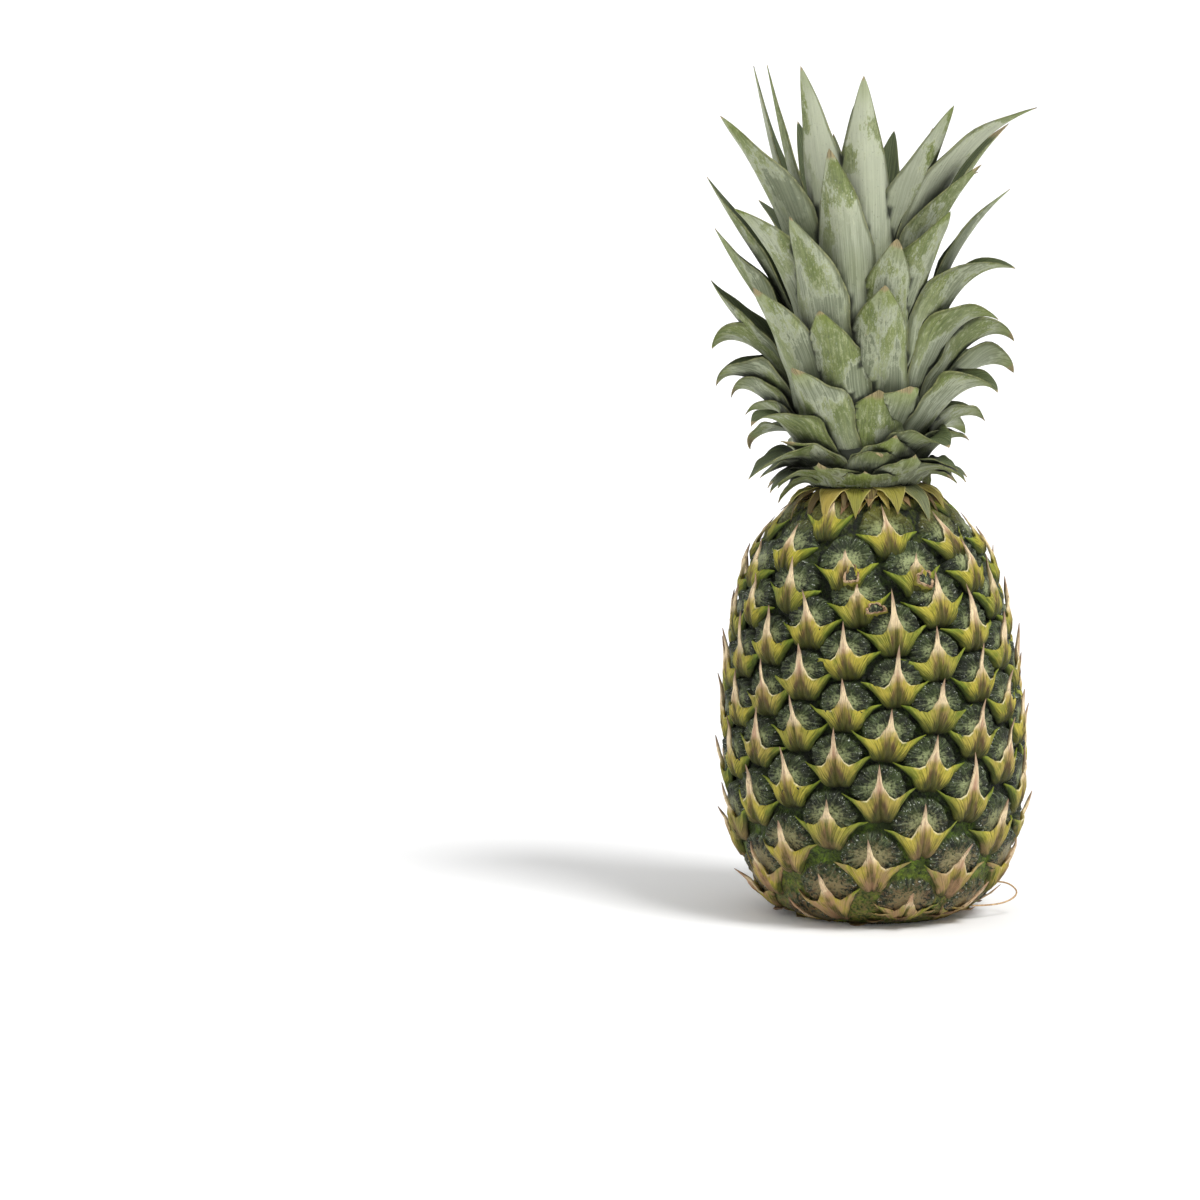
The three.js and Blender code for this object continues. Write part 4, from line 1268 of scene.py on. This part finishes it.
class LeafSettings(bpy.types.PropertyGroup):
    """Sizes and colours of the crown."""

    lower_width: size_setting("Lower width", "Width of the lowest leaves", LEAF_WIDTH_LOW)
    upper_width: size_setting("Upper width", "Width of the highest leaves", LEAF_WIDTH_TOP)
    scale_width: size_setting("Scale width", "Width of the short scales under the leaves", BASE_LEAF_WIDTH)
    bloom_colour: colour_setting("Bloom", "Powdery bloom on the outer face", tint(174, 181, 154))
    bloom_shade_colour: colour_setting("Bloom shade", "Bloom between the ribs", tint(131, 139, 112))
    rubbed_colour: colour_setting("Rubbed", "Where the bloom is rubbed off", tint(126, 138, 70))
    upper_face_colour: colour_setting("Upper face", "Inner side of the leaves", tint(64, 76, 40))
    dry_tip_colour: colour_setting("Dry tip", "Dead ends of the leaves", tint(190, 170, 126))


class StageSettings(bpy.types.PropertyGroup):
    """Floor, light and view."""

    floor_colour: colour_setting("Floor", "Plain pale floor", (0.93, 0.93, 0.93))
    key_strength: bpy.props.FloatProperty(name="Key light", description="Strength of the soft light above",
                                          default=2.4, min=0)
    room_strength: bpy.props.FloatProperty(name="White room", description="Strength of the light all round",
                                           default=0.7, min=0)
    view_distance: bpy.props.FloatProperty(name="View distance", description="From the camera to its target",
                                           default=VIEW_DISTANCE, min=0.3, unit="LENGTH")


# ---------------------------------------------------------------- operators


class PINEAPPLE_OT_rind(bpy.types.Operator):
    """Grow the skin of fused eyes"""

    bl_idname = "pineapple.rind"
    bl_label = "Rind"

    def execute(self, context):
        look = context.scene.pineapple_fruit
        place_piece(make_skin(look), paint_rind(look), "rind", "fruit")
        return {"FINISHED"}


class PINEAPPLE_OT_bracts(bpy.types.Operator):
    """Lay a star-shaped bract on every eye"""

    bl_idname = "pineapple.bracts"
    bl_label = "Bracts"

    def execute(self, context):
        look = context.scene.pineapple_fruit
        place_piece(make_bracts(look), paint_bracts(look), "rind")
        place_piece(make_torn_eyes(), paint_torn(look), "rind")
        return {"FINISHED"}


class PINEAPPLE_OT_neck(bpy.types.Operator):
    """Hang the small bracts over the shoulder"""

    bl_idname = "pineapple.neck"
    bl_label = "Neck"

    def execute(self, context):
        place_piece(make_neck(), paint_neck(context.scene.pineapple_fruit), "neck_leaf", "neck_bracts")
        return {"FINISHED"}


class PINEAPPLE_OT_base(bpy.types.Operator):
    """Add the dry bracts and the loose fibre at the foot"""

    bl_idname = "pineapple.base"
    bl_label = "Foot"

    def execute(self, context):
        look = context.scene.pineapple_fruit
        place_piece(make_base_scraps(), paint_neck(look), "neck_leaf")
        place_piece(make_fibre(look), paint_dry(), "neck_leaf")
        return {"FINISHED"}


class PINEAPPLE_OT_crown(bpy.types.Operator):
    """Pack the leaves round the stem"""

    bl_idname = "pineapple.crown"
    bl_label = "Crown"

    def execute(self, context):
        look = context.scene.pineapple_leaf
        finish = paint_leaves(look)
        leaves = make_crown(look)
        store_occlusion_shade(leaves)
        place_piece(leaves, finish, "crown_leaf", "crown")
        stem = make_stem()
        count = len(stem.data.vertices)
        store(stem.data, "place", np.zeros((count, 3)))
        store(stem.data, "form", np.tile((0.0, 90.0, 1.0), (count, 1)))
        store(stem.data, "dry", np.ones(count))
        store(stem.data, "fresh", np.zeros(count))
        # painted shade: the stem counts as closed off all round, so its finish paints it near-black
        store(stem.data, "occlusion_shade", np.ones(count))
        place_piece(stem, finish, "crown_leaf")
        return {"FINISHED"}


class PINEAPPLE_OT_stage(bpy.types.Operator):
    """Set up the floor, the lights and the camera"""

    bl_idname = "pineapple.stage"
    bl_label = "Stage"

    def execute(self, context):
        look = context.scene.pineapple_stage
        make_floor(look)
        make_lights(look)
        make_camera(look)
        return {"FINISHED"}


class PINEAPPLE_PT_panel(bpy.types.Panel):
    """Lists the pieces and their settings"""

    bl_idname = "PINEAPPLE_PT_panel"
    bl_label = "Pineapple"
    bl_space_type = "VIEW_3D"
    bl_region_type = "UI"
    bl_category = "Pineapple"

    def draw(self, context):
        for operator in OPERATORS:
            self.layout.operator(operator.bl_idname)
        for name in SETTINGS:
            group = getattr(context.scene, name)
            for key in group.__annotations__:
                self.layout.prop(group, key)


SETTINGS = {
    "pineapple_fruit": FruitSettings,
    "pineapple_leaf": LeafSettings,
    "pineapple_stage": StageSettings,
}
OPERATORS = (
    PINEAPPLE_OT_stage, PINEAPPLE_OT_rind, PINEAPPLE_OT_bracts, PINEAPPLE_OT_base, PINEAPPLE_OT_neck,
    PINEAPPLE_OT_crown,
)


def register():
    for group in (*SETTINGS.values(), *OPERATORS, PINEAPPLE_PT_panel):
        bpy.utils.register_class(group)
    for name, group in SETTINGS.items():
        setattr(bpy.types.Scene, name, bpy.props.PointerProperty(type=group))


def unregister():
    for name in SETTINGS:
        delattr(bpy.types.Scene, name)
    for group in (PINEAPPLE_PT_panel, *reversed(OPERATORS), *reversed(tuple(SETTINGS.values()))):
        bpy.utils.unregister_class(group)


def main():
    register()
    bpy.ops.pineapple.stage()
    bpy.ops.pineapple.rind()
    bpy.ops.pineapple.bracts()
    bpy.ops.pineapple.base()
    bpy.ops.pineapple.neck()
    bpy.ops.pineapple.crown()


if __name__ == "__main__":
    main()
